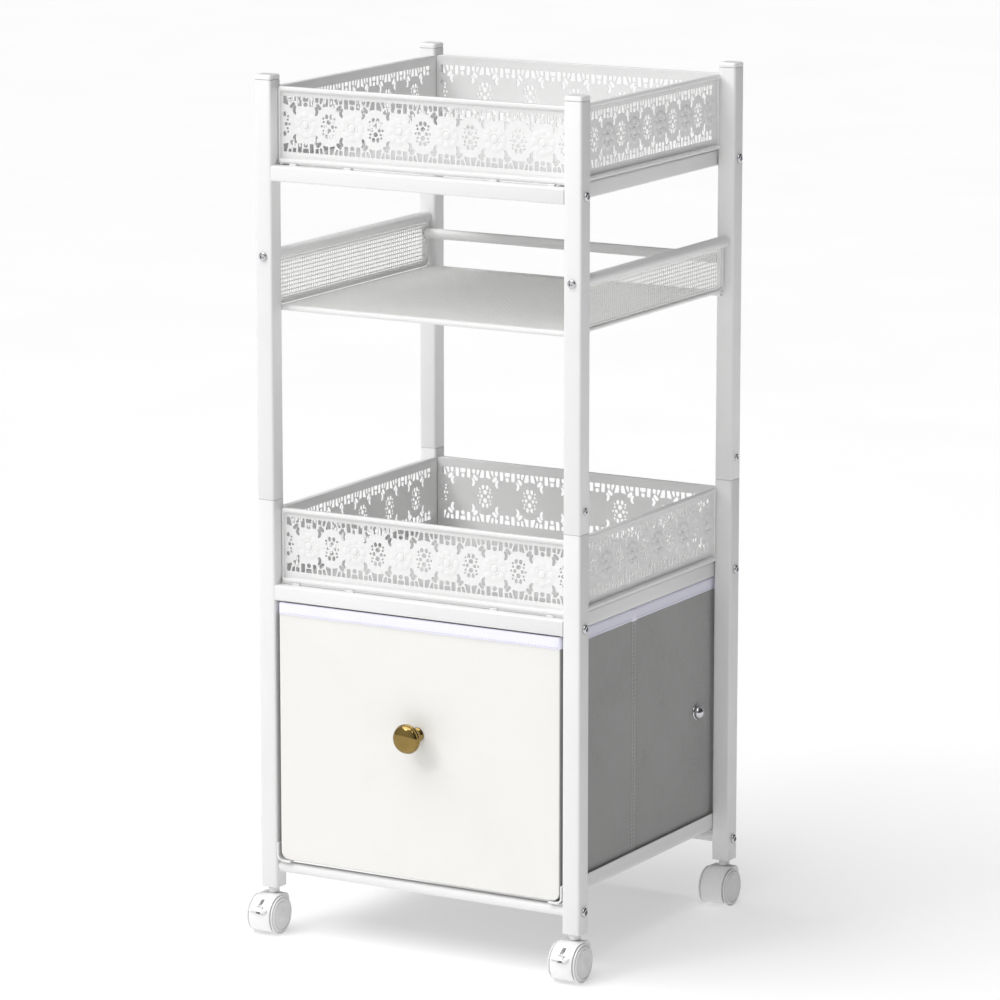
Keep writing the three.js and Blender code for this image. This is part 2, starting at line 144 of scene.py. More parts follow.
def lathe(b, origin, axis, profile, n=32, mi=0, spin=0.0):
    """Turned body: profile of (radius, height) along the axis vector."""
    z = Vector(axis).normalized()
    x = z.orthogonal().normalized()
    y = z.cross(x)
    o = Vector(origin)
    verts, faces, prev = [], [], None
    for r, h in profile:
        if r < 1e-6:
            cur = [len(verts)]
            verts.append(o + z * h)
        else:
            cur = list(range(len(verts), len(verts) + n))
            for i in range(n):
                a = 2 * math.pi * i / n + spin
                verts.append(o + z * h + (x * math.cos(a) + y * math.sin(a)) * r)
        if prev is not None:
            for i in range(n):
                k = (i + 1) % n
                if len(prev) == 1 and len(cur) > 1:
                    faces.append((prev[0], cur[i], cur[k]))
                elif len(cur) == 1 and len(prev) > 1:
                    faces.append((prev[i], prev[k], cur[0]))
                elif len(cur) > 1:
                    faces.append((prev[i], prev[k], cur[k], cur[i]))
        elif len(cur) > 1:
            faces.append(tuple(reversed(cur)))
        prev = cur
    if len(prev) > 1:
        faces.append(tuple(prev))
    b.raw(verts, faces, mi)


def fillet(points, r, n=6, closed=False):
    """Polyline with its corners rounded to radius r."""
    pts = [Vector(p) for p in points]
    out, count = [], len(pts)
    for i, p in enumerate(pts):
        if not closed and i in (0, count - 1):
            out.append(p)
            continue
        a, c = pts[i - 1], pts[(i + 1) % count]
        da, dc = (a - p).normalized(), (c - p).normalized()
        half = da.angle(dc) / 2
        d = min(r / math.tan(half), (a - p).length * 0.49, (c - p).length * 0.49)
        rr = d * math.tan(half)
        centre = p + (da + dc).normalized() * (rr / math.sin(half))
        s, e = p + da * d - centre, p + dc * d - centre
        full = s.angle(e)
        for j in range(n + 1):
            t = j / n
            v = s * (math.sin((1 - t) * full) / math.sin(full)) + e * (math.sin(t * full) / math.sin(full))
            out.append(centre + v)
    return out


def sweep(b, path, section, up, closed=False, mi=0, scale=None):
    """Section of (outward, up) offsets carried along a path; outward is tangent x up."""
    pts = [Vector(p) for p in path]
    up = Vector(up).normalized()
    n, rings = len(pts), []
    for i, p in enumerate(pts):
        a = pts[i - 1] if (closed or i > 0) else p
        c = pts[(i + 1) % n] if (closed or i < n - 1) else p
        t = ((p - a).normalized() + (c - p).normalized()) if (a != p and c != p) else (c - a)
        t.normalize()
        side = t.cross(up).normalized()
        k = 1.0
        if a != p and c != p:
            k = 1 / max(0.35, math.cos((p - a).angle(c - p) / 2))
        top = side.cross(t)
        s = scale(i / (n - 1)) if scale else 1.0
        rings.append([p + side * (u * k * s) + top * (w * s) for u, w in section])
    b.rings(rings, loop=closed, mi=mi)


def rod(b, path, r, n=12, mi=0, dome=0.0, closed=False):
    """Round bar along a path, its ends rounded by the share given."""
    pts = [Vector(p) for p in path]
    total = len(pts)
    t = (pts[1] - pts[0]).normalized()
    side = t.orthogonal().normalized()
    rings = []
    for i, p in enumerate(pts):
        a = pts[i - 1] if (closed or i > 0) else p
        c = pts[(i + 1) % total] if (closed or i < total - 1) else p
        t = ((p - a).normalized() if a != p else Vector()) + ((c - p).normalized() if c != p else Vector())
        t.normalize()
        side = (side - t * side.dot(t)).normalized()
        other = t.cross(side)

        def ring(q, rr):
            return [q + side * (rr * math.cos(2 * math.pi * j / n)) + other * (rr * math.sin(2 * math.pi * j / n)) for j in range(n)]
        if dome and not closed and i == 0:
            for k in range(1, 5):
                an = math.pi / 2 * k / 5
                rings.append(ring(p + t * (dome * r * (1 - math.sin(an))), r * math.sin(an) if k > 1 else r * 0.35))
            rings[-4:] = [ring(p + t * (dome * r * (1 - math.sin(x))), r * max(0.25, math.cos(math.pi / 2 - x))) for x in (0.25, 0.65, 1.05, 1.57)]
        elif dome and not closed and i == total - 1:
            rings += [ring(p - t * (dome * r * (1 - math.sin(x))), r * max(0.25, math.cos(math.pi / 2 - x))) for x in (1.57, 1.05, 0.65, 0.25)]
        else:
            rings.append(ring(p, r))
    b.rings(rings, loop=closed, mi=mi)


def rbox(b, x0, y0, z0, x1, y1, z1, e=0.5, mi=0, n=2):
    """Box with rounded edges: rings of rounded rectangles along z."""
    cx, cy, w, h = (x0 + x1) / 2, (y0 + y1) / 2, x1 - x0, y1 - y0
    e = min(e, w / 2.1, h / 2.1, (z1 - z0) / 2.1)
    rings = []
    for i in range(n + 1):
        a = math.pi / 2 * i / n
        k = e * (1 - math.sin(a))
        rings.append([(u, v, z0 + e * (1 - math.cos(a))) for u, v in rrect(w - 2 * k, h - 2 * k, e, n, cx, cy)])
    for i in range(n, -1, -1):
        a = math.pi / 2 * i / n
        k = e * (1 - math.sin(a))
        rings.append([(u, v, z1 - e * (1 - math.cos(a))) for u, v in rrect(w - 2 * k, h - 2 * k, e, n, cx, cy)])
    b.rings(rings, mi=mi)


def weld(b, p0, p1, r=1.3, mi=0, seed=0):
    """A rippled weld bead between two points."""
    p0, p1 = Vector(p0), Vector(p1)
    length = (p1 - p0).length
    steps = max(6, int(length / 0.7))
    t = (p1 - p0) / length
    side = t.orthogonal().normalized()
    other = t.cross(side)
    rings = []
    for i in range(steps + 1):
        q = p0 + t * (length * i / steps)
        taper = math.sin(math.pi * min(1, max(0.06, min(i, steps - i) / 3) * 0.5 + 0.0)) if min(i, steps - i) < 3 else 1
        rr = r * max(0.3, taper) * (0.86 + 0.14 * abs(math.sin(i * 1.15 + seed))) + 0.08 * noise.noise(q * 0.9)
        rings.append([q + side * (rr * math.cos(a)) + other * (rr * math.sin(a)) for a in [2 * math.pi * j / 8 for j in range(8)]])
    b.rings(rings, mi=mi)


# ------------------------------------------------------------------ materials
def nodes_of(name):
    m = bpy.data.materials.new(name)
    m.use_nodes = True
    nt = m.node_tree
    bsdf = nt.nodes["Principled BSDF"]
    coord = nt.nodes.new("ShaderNodeTexCoord")
    return m, nt, bsdf, coord


def noise_node(nt, coord, scale, detail=3.0, rough=0.55, stretch=None):
    n = nt.nodes.new("ShaderNodeTexNoise")
    n.inputs["Scale"].default_value = scale
    n.inputs["Detail"].default_value = detail
    n.inputs["Roughness"].default_value = rough
    if stretch:
        mp = nt.nodes.new("ShaderNodeMapping")
        mp.inputs["Scale"].default_value = stretch
        nt.links.new(coord.outputs["Object"], mp.inputs["Vector"])
        nt.links.new(mp.outputs["Vector"], n.inputs["Vector"])
    else:
        nt.links.new(coord.outputs["Object"], n.inputs["Vector"])
    return n


def ramp(nt, src, stops):
    r = nt.nodes.new("ShaderNodeValToRGB")
    while len(r.color_ramp.elements) < len(stops):
        r.color_ramp.elements.new(0.5)
    for e, (pos, col) in zip(r.color_ramp.elements, stops):
        e.position = pos
        e.color = (*col, 1)
    nt.links.new(src, r.inputs["Fac"])
    return r.outputs["Color"]


def map_range(nt, src, lo, hi, f0=0.3, f1=0.7):
    m = nt.nodes.new("ShaderNodeMapRange")
    m.inputs["From Min"].default_value = f0
    m.inputs["From Max"].default_value = f1
    m.inputs["To Min"].default_value = lo
    m.inputs["To Max"].default_value = hi
    nt.links.new(src, m.inputs["Value"])
    return m.outputs["Result"]


def mul(nt, a, k, op="MULTIPLY"):
    m = nt.nodes.new("ShaderNodeMath")
    m.operation = op
    nt.links.new(a, m.inputs[0])
    if isinstance(k, (int, float)):
        m.inputs[1].default_value = k
    else:
        nt.links.new(k, m.inputs[1])
    return m.outputs[0]


def bump(nt, bsdf, height, distance, strength=0.6):
    bp = nt.nodes.new("ShaderNodeBump")
    bp.inputs["Strength"].default_value = strength
    bp.inputs["Distance"].default_value = distance
    nt.links.new(height, bp.inputs["Height"])
    nt.links.new(bp.outputs["Normal"], bsdf.inputs["Normal"])


def tint(c, k):
    return tuple(min(1.0, x * k) for x in c)


def coated(name, base, rough, peel_scale=900, peel=0.00005, vary=0.03, coat=0.0, spec=0.5, speck=0.0):
    """Powder coat or moulded plastic: faint cloudy colour, uneven gloss, orange peel."""
    m, nt, bsdf, co = nodes_of(name)
    cloud = noise_node(nt, co, 7.0, 4.0)
    fine = noise_node(nt, co, 420.0, 2.0)
    mixv = mul(nt, mul(nt, cloud.outputs["Fac"], 0.75), mul(nt, fine.outputs["Fac"], 0.25), "ADD")
    nt.links.new(ramp(nt, mixv, [(0.32, tint(base, 1 - vary)), (0.5, base), (0.68, tint(base, 1 + vary * 0.5))]), bsdf.inputs["Base Color"])
    rn = noise_node(nt, co, 38.0, 5.0)
    nt.links.new(map_range(nt, rn.outputs["Fac"], rough * 0.86, rough * 1.16), bsdf.inputs["Roughness"])
    pn = noise_node(nt, co, peel_scale, 2.0)
    bump(nt, bsdf, pn.outputs["Fac"], peel)
    bsdf.inputs["Coat Weight"].default_value = coat
    bsdf.inputs["Coat Roughness"].default_value = 0.12
    bsdf.inputs["Specular IOR Level"].default_value = spec
    return m


def metal(name, base, rough, brush=(1, 1, 1), vary=0.06, dist=0.000012):
    m, nt, bsdf, co = nodes_of(name)
    bsdf.inputs["Metallic"].default_value = 1.0
    cloud = noise_node(nt, co, 60.0, 3.0)
    nt.links.new(ramp(nt, cloud.outputs["Fac"], [(0.35, tint(base, 1 - vary)), (0.65, tint(base, 1 + vary))]), bsdf.inputs["Base Color"])
    fine = noise_node(nt, co, 700.0, 3.0, stretch=brush)
    nt.links.new(map_range(nt, fine.outputs["Fac"], rough * 0.75, rough * 1.3), bsdf.inputs["Roughness"])
    bump(nt, bsdf, fine.outputs["Fac"], dist, 0.4)
    return m


def cloth(name, base, dark, light, rough=0.95, pitch=0.9, weave=0.00018, heather=0.5, sheen=0.15, cloud_amount=0.4):
    """Woven cloth: threads crossing on all three planes, heathered colour, soft large-scale shade."""
    m, nt, bsdf, co = nodes_of(name)
    sep = nt.nodes.new("ShaderNodeSeparateXYZ")
    nt.links.new(co.outputs["Object"], sep.inputs[0])
    k = 2 * math.pi / (pitch * 0.001)

    def wave(out, phase):
        s = mul(nt, mul(nt, sep.outputs[out], k), phase, "ADD")
        return mul(nt, s, 0, "SINE")
    # upright threads run in z; cross threads step sideways with each row
    wz = wave("Z", 0.0)
    wx = wave("X", 0.0)
    wy = wave("Y", 1.0)
    horiz = mul(nt, wx, wy, "ADD")
    cross = mul(nt, wz, horiz)
    height = mul(nt, mul(nt, cross, 0.25), 0.5, "ADD")
    fibre = noise_node(nt, co, 1500.0, 3.0, 0.65)
    h2 = mul(nt, height, mul(nt, fibre.outputs["Fac"], 0.9), "ADD")
    slub = noise_node(nt, co, 260.0, 3.0, 0.6, stretch=(1.0, 1.0, 0.22))
    slub2 = noise_node(nt, co, 300.0, 3.0, 0.6, stretch=(0.2, 0.2, 1.0))
    cloud = noise_node(nt, co, 11.0, 4.0, 0.6)
    s = mul(nt, mul(nt, slub.outputs["Fac"], slub2.outputs["Fac"], "ADD"), 0.5 * heather)
    s = mul(nt, s, mul(nt, cloud.outputs["Fac"], cloud_amount), "ADD")
    s = mul(nt, s, mul(nt, height, 1 - heather * 0.5 - cloud_amount * 0.5), "ADD")
    nt.links.new(ramp(nt, s, [(0.30, dark), (0.5, base), (0.72, light)]), bsdf.inputs["Base Color"])
    nt.links.new(map_range(nt, fibre.outputs["Fac"], rough * 0.9, min(1.0, rough * 1.06)), bsdf.inputs["Roughness"])
    bump(nt, bsdf, h2, weave, 0.7)
    bsdf.inputs["Sheen Weight"].default_value = sheen
    bsdf.inputs["Sheen Roughness"].default_value = 0.5
    bsdf.inputs["Specular IOR Level"].default_value = 0.25
    return m


M_STEEL = coated("white_powder_coat", (0.82, 0.82, 0.818), 0.40, 1100, 0.00004)
M_TRAY = coated("tray_white_enamel", (0.83, 0.83, 0.826), 0.38, 1300, 0.000035)
M_MESH = coated("mesh_white_coat", (0.92, 0.92, 0.906), 0.48, 1500, 0.00003)
M_CAP = coated("cap_white_plastic", (0.87, 0.87, 0.865), 0.36, 2200, 0.00002)
M_CASTER = coated("caster_white_plastic", (0.88, 0.88, 0.88), 0.24, 600, 0.00002, coat=0.35)
M_WHEEL = coated("wheel_white_nylon", (0.80, 0.80, 0.804), 0.33, 900, 0.00003)
# flat dark grey for the block in the brake lever's slot: painted shade standing in for the shadow in the slot
M_SLOT_SHADE_PAINT = coated("painted_slot_shade_grey", (0.16, 0.16, 0.165), 0.5, 1200, 0.00003)
M_CHROME = metal("chromed_steel", (0.56, 0.56, 0.58), 0.14)
M_ZINC = metal("bright_zinc_steel", (0.55, 0.56, 0.57), 0.28, (1, 1, 0.2))
M_GOLD = metal("polished_gold_plate", (0.27, 0.186, 0.062), 0.10, dist=0.000006)
M_GREY = cloth("grey_polyester_cloth", (0.298, 0.294, 0.292), (0.208, 0.205, 0.203), (0.388, 0.384, 0.381), pitch=0.8)
M_FRONT = cloth("off_white_nonwoven_front", (0.81, 0.802, 0.775), (0.78, 0.772, 0.745), (0.84, 0.832, 0.806), rough=0.8, pitch=0.6, weave=0.00006, heather=0.3, sheen=0.05, cloud_amount=0.6)
M_BIND = cloth("lilac_white_binding_tape", (0.85, 0.845, 0.985), (0.80, 0.795, 0.945), (0.90, 0.895, 0.995), rough=0.7, pitch=1.1, weave=0.00012, heather=0.3, sheen=0.1, cloud_amount=0.3)
M_THREAD = cloth("sewing_thread", (0.62, 0.62, 0.72), (0.54, 0.54, 0.64), (0.70, 0.70, 0.78), rough=0.6, pitch=0.4, weave=0.00006)
M_GTHREAD = cloth("grey_sewing_thread", (0.52, 0.515, 0.51), (0.42, 0.415, 0.41), (0.60, 0.595, 0.59), rough=0.6, pitch=0.4, weave=0.00006)
M_BOARD = cloth("lining_board_cloth", (0.42, 0.415, 0.41), (0.36, 0.355, 0.35), (0.48, 0.475, 0.47), pitch=1.4, weave=0.0002)

# the plastic sockets in the post feet and the axles stay as CAD made them
for name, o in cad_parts.items():
    if name.startswith("stem_socket"):
        o.data.materials.clear()
        o.data.materials.append(M_CAP)
    elif name.startswith(("caster_axle", "knob_screw")):
        o.data.materials.clear()
        o.data.materials.append(M_ZINC)


# ------------------------------------------------------------------ posts, caps, screws
def screw_head(name, centre, axis, r, h, af, body="root", recess=1.6, mat=None):
    """Domed hex-socket head standing on a face."""
    z = Vector(axis).normalized()
    x = z.orthogonal().normalized()
    y = z.cross(x)
    o = Vector(centre)
    n = 36
    b = Build()

    def ring(rad, height, hexed=0.0):
        out = []
        for i in range(n):
            a = 2 * math.pi * i / n
            m = (a % (math.pi / 3)) - math.pi / 6
            hexr = (af / 2) / math.cos(m)
            rr = rad * (1 - hexed) + hexr * hexed
            out.append(o + z * height + (x * math.cos(a) + y * math.sin(a)) * rr)
        return out
    rings = [ring(r * 0.96, 0.0), ring(r, 0.25), ring(r, h * 0.32)]
    for k in range(1, 6):
        t = math.pi / 2 * k / 6
        rings.append(ring(r * (0.64 + 0.36 * math.cos(t)), h * (0.32 + 0.66 * math.sin(t))))
    rings += [ring(r * 0.63, h), ring(0, h, 1.0), ring(0, h - 0.25, 0.97), ring(0, h - recess, 0.97), ring(r * 0.12, h - recess - 0.35)]
    b.rings(rings)
    return make(name, b, mat or M_CHROME, body, angle=28)


for k, (sx, sy) in CORNERS.items():
    c = (sx * 180, sy * 164)
    b = Build()
    square_tube(b, "z", c, 20, 2.6, 48, 460.7, deep0=40, deep1=8, edge=0.5, n=6)
    # necked spigot inside the upper half
    b.rings([[(c[0] + u, c[1] + v, z) for u, v in rrect(s, s, 1.5, 4)] for s, z in ((16.6, 458.5), (16.8, 459.4), (16.8, 501), (15.4, 503))])
    make(f"post_lower_tube_{k}", b, M_STEEL, "root", f"post_lower_{k}")
    b = Build()
    square_tube(b, "z", c, 20, 2.6, 461, 894.7, deep0=43, deep1=16, edge=0.5, n=6)
    make(f"post_upper_tube_{k}", b, M_STEEL, "root", f"post_upper_{k}")
    b = Build()
    prof = [(0.9, 895.0), (0.35, 895.12), (0.0, 895.5), (0.0, 898.0), (0.18, 898.6), (1.05, 899.6), (1.5, 899.85), (2.2, 899.97), (5.5, 900.0)]
    rings = [[(c[0] + u, c[1] + v, z) for u, v in rrect(17.0 - 2 * q, 17.0 - 2 * q, 1.4, 6)] for q, z in ((0.6, 881), (0.0, 882), (0.0, 894.9))]
    rings += [[(c[0] + u, c[1] + v, z) for u, v in rrect(20 - 2 * q, 20 - 2 * q, max(0.8, 2.6 - q * 0.5), 6)] for q, z in prof]
    b.rings(rings)
    make(f"post_cap_moulded_{k}", b, M_CAP, "root", f"post_cap_{k}", angle=24)
    for z, tag in ((70.5, "bottom"), (364, "middle"), (800, "top")):
        screw_head(f"bolt_{tag}_{k}", (sx * 190, sy * 164, z), (sx, 0, 0), 4.9, 2.9, 5.0)
    screw_head(f"splice_screw_{k}", (sx * 190, sy * 164, 484), (sx, 0, 0), 3.9, 1.9, 3.6, recess=1.2)
    screw_head(f"basket_bolt_{k}", (sx * 180, sy * 174, 714), (0, sy, 0), 4.6, 2.6, 4.6)


# ------------------------------------------------------------------ upper two shelf frames
def shelf_frame(name, top, node):
    b = Build()
    z0, zc = top - 16, top - 8
    ox = IX - 0.3
    for s in (-1, 1):
        square_tube(b, "x", (s * (HY - 8), zc), 16, 2.0, -169.98, 169.98, deep0=0, deep1=0, edge=0.03)
        square_tube(b, "y", (s * (ox - 8), zc), 16, 2.0, -(HY - 16.4), HY - 16.4, deep0=0, deep1=0)
    for sx in (-1, 1):
        for sy in (-1, 1):
            xi, yi = sx * (ox - 16.2), sy * (HY - 16.2)
            weld(b, (xi, yi, z0 + 1.5), (xi, yi, top - 1.5), 1.5, seed=sx + 2 * sy)
            weld(b, (sx * (ox - 15), yi, z0 + 0.3), (sx * (ox - 1.5), yi, z0 + 0.3), 1.2, seed=sx)
            weld(b, (sx * (ox - 0.2), yi, z0 + 1.5), (sx * (ox - 0.2), yi, top - 1.5), 0.9, seed=3 * sx + sy)
    for s in (-1, 1):
        for x in (-150, -85, 85, 150):
            rbox(b, x - 4, s * (HY - 12.5) - 3, top - 0.8, x + 4, s * (HY - 12.5) + 3, top + 2.2, 0.6)
        for y in (-33, 33):
            rbox(b, s * (ox - 8.5) - 6, y - 3, top - 0.8, s * (ox - 8.5) + 6, y + 3, top + 2.2, 0.6)
    make(name, b, M_STEEL, "root", node)


shelf_frame("top_frame_welded", 808, "top_frame")
shelf_frame("middle_frame_welded", 372, "middle_frame")

# ------------------------------------------------------------------ bottom frame
b = Build()
OX = IX - 0.3
for s in (-1, 1):
    lathe(b, (-169.98, s * 165, 70.5), (1, 0, 0), [(5.9, 0), (6.0, 0.1), (6.0, 339.86), (5.9, 339.96)], 40)
    for e in (-1, 1):
        for i in range(10):
            a0, a1 = math.radians(36 * i), math.radians(36 * (i + 1))
            weld(b, (e * 169.6, s * 165 + 6 * math.cos(a0), 70.5 + 6 * math.sin(a0)), (e * 169.6, s * 165 + 6 * math.cos(a1), 70.5 + 6 * math.sin(a1)), 0.7, seed=i)
for s in (-1, 1):
    # bent angle: upright leaf outside, flange turned in, generous bend
    ro, t = 7.5, 1.5
    ri = ro - t
    cx, cz = OX - ro, 78 + ro
    outer = [(cx + ro * math.cos(a), cz + ro * math.sin(a)) for a in [math.radians(-90 + 90 * i / 8) for i in range(9)]]
    inner_arc = [(cx + ri * math.cos(a), cz + ri * math.sin(a)) for a in [math.radians(0 - 90 * i / 8) for i in range(9)]]
    sec = [(OX - 15.7, 78.0)] + outer + [(OX, 97.1), (OX - 0.4, 97.5), (OX - t + 0.4, 97.5), (OX - t, 97.1)] + inner_arc + [(OX - 15.7, 78 + t), (OX - 16, 78 + t - 0.3), (OX - 16, 78.3)]
    rings = []
    for q, y in ((0.25, -174.0), (0.0, -173.7), (0.0, 173.7), (0.25, 174.0)):
        cxm, czm = sum(p[0] for p in sec) / len(sec), sum(p[1] for p in sec) / len(sec)
        rings.append([(s * u, y, w) for u, w in sec])
    b.rings(rings)
    for sy in (-1, 1):
        rbox(b, min(s * (OX - 13), s * (OX - 2)), sy * 165 - 2.6, 74.5, max(s * (OX - 13), s * (OX - 2)), sy * 165 + 2.6, 78.4, 0.6)
        weld(b, (s * (OX - 13), sy * 165 - 3.4, 76.7), (s * (OX - 2.5), sy * 165 - 3.4, 76.7), 1.2, seed=s)
        weld(b, (s * (OX - 13), sy * 165 + 3.4, 76.7), (s * (OX - 2.5), sy * 165 + 3.4, 76.7), 1.2, seed=s + 2)
make("bottom_frame_welded", b, M_STEEL, "root", "bottom_frame")


# ------------------------------------------------------------------ trays
def deck(name, z0, node):
    """Pressed sheet with a stiffening groove round it."""
    b = Build()
    w, h = 2 * 168.4, 2 * 156.7
    prof = [(0.3, z0), (0.0, z0 + 0.3), (0.0, z0 + 1.2), (0.3, z0 + 1.5), (9.0, z0 + 1.5), (10.0, z0 + 1.3), (11.0, z0 + 0.85), (13.0, z0 + 0.85), (14.0, z0 + 1.3), (15.0, z0 + 1.5)]
    rings = [[(u, v, z) for u, v in rrect(w - 2 * q, h - 2 * q, max(1.0, 4.0 - q * 0.2), 5)] for q, z in prof]
    b.rings(rings)
    make(name, b, M_TRAY, "root", node, angle=20)


deck("top_tray_sheet", 810.5, "top_tray_deck")
deck("middle_tray_sheet", 374.5, "middle_tray_deck")


def stadium(cx, cy, length, width, deg, n=6):
    a = math.radians(deg)
    out = []
    hl = (length - width) / 2
    for s, base in ((1, -90), (-1, 90)):
        for i in range(n + 1):
            t = math.radians(base + 180 * i / n)
            px, py = s * hl + width / 2 * math.cos(t), width / 2 * math.sin(t)
            out.append((cx + px * math.cos(a) - py * math.sin(a), cy + px * math.sin(a) + py * math.cos(a)))
    return out


def oval(cx, cy, w, h, n=14):
    return [(cx + w / 2 * math.cos(2 * math.pi * i / n), cy + h / 2 * math.sin(2 * math.pi * i / n)) for i in range(n)]


def soften(poly, r=0.55, n=2):
    return [(p.x, p.y) for p in fillet([(x, y, 0) for x, y in poly], r, n, closed=True)]


def crescent(line, widths):
    pts = []
    (x0, y0), (x1, y1), (x2, y2) = line
    left, right = [], []
    for i in range(9):
        t = i / 8
        x = (1 - t) ** 2 * x0 + 2 * t * (1 - t) * (2 * x1 - (x0 + x2) / 2) + t * t * x2
        y = (1 - t) ** 2 * y0 + 2 * t * (1 - t) * (2 * y1 - (y0 + y2) / 2) + t * t * y2
        dx = 2 * (1 - t) * ((2 * x1 - (x0 + x2) / 2) - x0) + 2 * t * (x2 - (2 * x1 - (x0 + x2) / 2))
        dy = 2 * (1 - t) * ((2 * y1 - (y0 + y2) / 2) - y0) + 2 * t * (y2 - (2 * y1 - (y0 + y2) / 2))
        l = math.hypot(dx, dy)
        w = widths[0] + (widths[1] - widths[0]) * math.sin(math.pi * t)
        if i in (0, 8):
            w *= 0.55
        left.append((x - dy / l * w / 2, y + dx / l * w / 2))
        right.append((x + dy / l * w / 2, y - dx / l * w / 2))
    return left + right[::-1]


def grow(poly, d=0.42):
    """Outline moved outward by d."""
    area = sum(poly[i - 1][0] * poly[i][1] - poly[i][0] * poly[i - 1][1] for i in range(len(poly)))
    sg = -1 if area > 0 else 1
    out = []
    for i in range(len(poly)):
        a, p, c = Vector(poly[i - 1]), Vector(poly[i]), Vector(poly[(i + 1) % len(poly)])
        d0, d1 = (p - a).normalized(), (c - p).normalized()
        n0, n1 = Vector((-d0.y, d0.x)) * sg, Vector((-d1.y, d1.x)) * sg
        m = n0 + n1
        m = m.normalized() if m.length > 1e-6 else n0
        k = d / max(0.6, m.dot(n0))
        out.append((p.x + m.x * k, p.y + m.y * k))
    return out


def lace(half, limit):
    """Openings of the pierced band, in (u, z) about the panel's middle."""
    found = []
    flower = []
    axis_shapes = [oval(0, 20.6, 4.4, 4.4), soften([(-3.4, 28.2), (-2.8, 24.2), (2.8, 24.2), (3.4, 28.2)])]
    side_shapes = [
        soften([(5.2, 28.2), (5.0, 19.2), (8.9, 19.2), (9.3, 28.2)]),
        soften([(11.7, 28.2), (11.9, 24.2), (15.0, 23.2), (15.4, 28.2)]),
        soften([(17.5, 28.2), (17.0, 22.8), (18.8, 22.8), (21.0, 28.2)]),
        soften([(23.1, 28.2), (20.5, 19.3), (23.4, 20.4), (26.3, 20.7), (26.3, 28.2)]),
        stadium(15.6, 19.3, 7.0, 3.4, -45),
        crescent([(11.2, 18.6), (13.6, 14.6), (11.6, 10.4)], (2.0, 3.0)),
    ]
    for sz in (-1, 1):
        for s in axis_shapes:
            flower.append([(x, y * sz) for x, y in s])
        for sx in (-1, 1):
            for s in side_shapes:
                flower.append([(x * sx, y * sz) for x, y in s])
    med = []
    for sz in (-1, 1):
        med.append(oval(0, 4.5 * sz, 4.6, 4.6))
        for sx in (-1, 1):
            med.append(oval(2.6 * sx, 10 * sz, 3.2, 4.6))
            med.append(oval(6.6 * sx, 7.9 * sz, 2.0, 2.0, 8))
            med.append(oval(6.1 * sx, 4.5 * sz, 2.0, 2.0, 8))
    for sx in (-1, 1):
        med.append(oval(4.3 * sx, 0, 3.0, 3.4))
        med.append(oval(8.3 * sx, 0, 2.0, 2.0, 8))
    axes = []
    for i in range(-4, 5):
        f = 27.6 + 55.2 * i
        for s in flower:
            p = [(x + f, y) for x, y in grow(s)]
            if max(abs(x) for x, _ in p) <= limit:
                found.append(p)
        if abs(f) + 12 < half:
            axes.append(f)
        for s in med:
            p = [(x + 55.2 * i, y) for x, y in grow(s)]
            if max(abs(x) for x, _ in p) <= limit:
                found.append(p)
    return found, axes


def pierced_sheet(half, low, high, holes):
    """Sheet with openings and eased edges, as (vertices (u, z, o), faces); o from 0 to 1."""
    cu = bpy.data.curves.new("lace_outline", "CURVE")
    cu.dimensions = "2D"
    cu.fill_mode = "BOTH"
    cu.extrude = 0.36
    cu.bevel_depth = 0.14
    cu.bevel_resolution = 0
    cu.offset = 0.0

    def spline(pts):
        s = cu.splines.new("POLY")
        s.points.add(len(pts) - 1)
        for p, (x, y) in zip(s.points, pts):
            p.co = (x, y, 0, 1)
        s.use_cyclic_u = True
    spline([(x, y) for x, y in rrect(2 * half, high - low, 2.0, 3, 0, (high + low) / 2)])
    for h in holes:
        spline(h)
    ob = bpy.data.objects.new("lace_outline", cu)
    bpy.context.scene.collection.objects.link(ob)
    bpy.context.view_layer.update()
    me = bpy.data.meshes.new_from_object(ob.evaluated_get(bpy.context.evaluated_depsgraph_get()))
    bm = bmesh.new()
    bm.from_mesh(me)
    bmesh.ops.remove_doubles(bm, verts=bm.verts, dist=1e-4)
    bmesh.ops.dissolve_limit(bm, angle_limit=math.radians(0.5), verts=bm.verts, edges=bm.edges) if False else None
    bm.verts.ensure_lookup_table()
    verts = [(v.co.x, v.co.y, v.co.z + 0.5) for v in bm.verts]
    bm.verts.index_update()
    faces = [tuple(v.index for v in f.verts) for f in bm.faces]
    bm.free()
    bpy.data.objects.remove(ob)
    bpy.data.meshes.remove(me)
    return verts, faces


def relief(u0, z0):
    """Low flower relief standing on the sheet's outer face."""
    nr, na, R = 17, 64, 14.3
    rings = []
    radii = [R] + [R * (1 - (i / nr)) for i in range(0, nr)]
    out = []
    for i, r in enumerate(radii):
        ring = []
        for j in range(na):
            a = 2 * math.pi * j / na
            h = 0.02
            if r < 4.1:
                h += 0.35 + 1.15 * math.sqrt(max(0.0, 1 - (r / 4.1) ** 2))
            else:
                h += 0.75 * math.exp(-((r - 5.9) / 0.75) ** 2)
                if r > 6.6:
                    t = (r - 6.6) / (13.9 - 6.6)
                    if t < 1:
                        petal = abs(math.cos(4 * a)) ** 0.7
                        h += 0.85 * math.sin(math.pi * t) ** 0.7 * petal
                        petal2 = abs(math.sin(4 * a)) ** 2.2
                        h += 0.2 * math.sin(math.pi * min(1, t * 1.1)) * petal2
            if i == 0:
                h = -0.4
            elif i == 1:
                h = 0.02
            ring.append((u0 + r * math.cos(a), z0 + r * math.sin(a), 1.0 + h))
        out.append(ring)
    return out


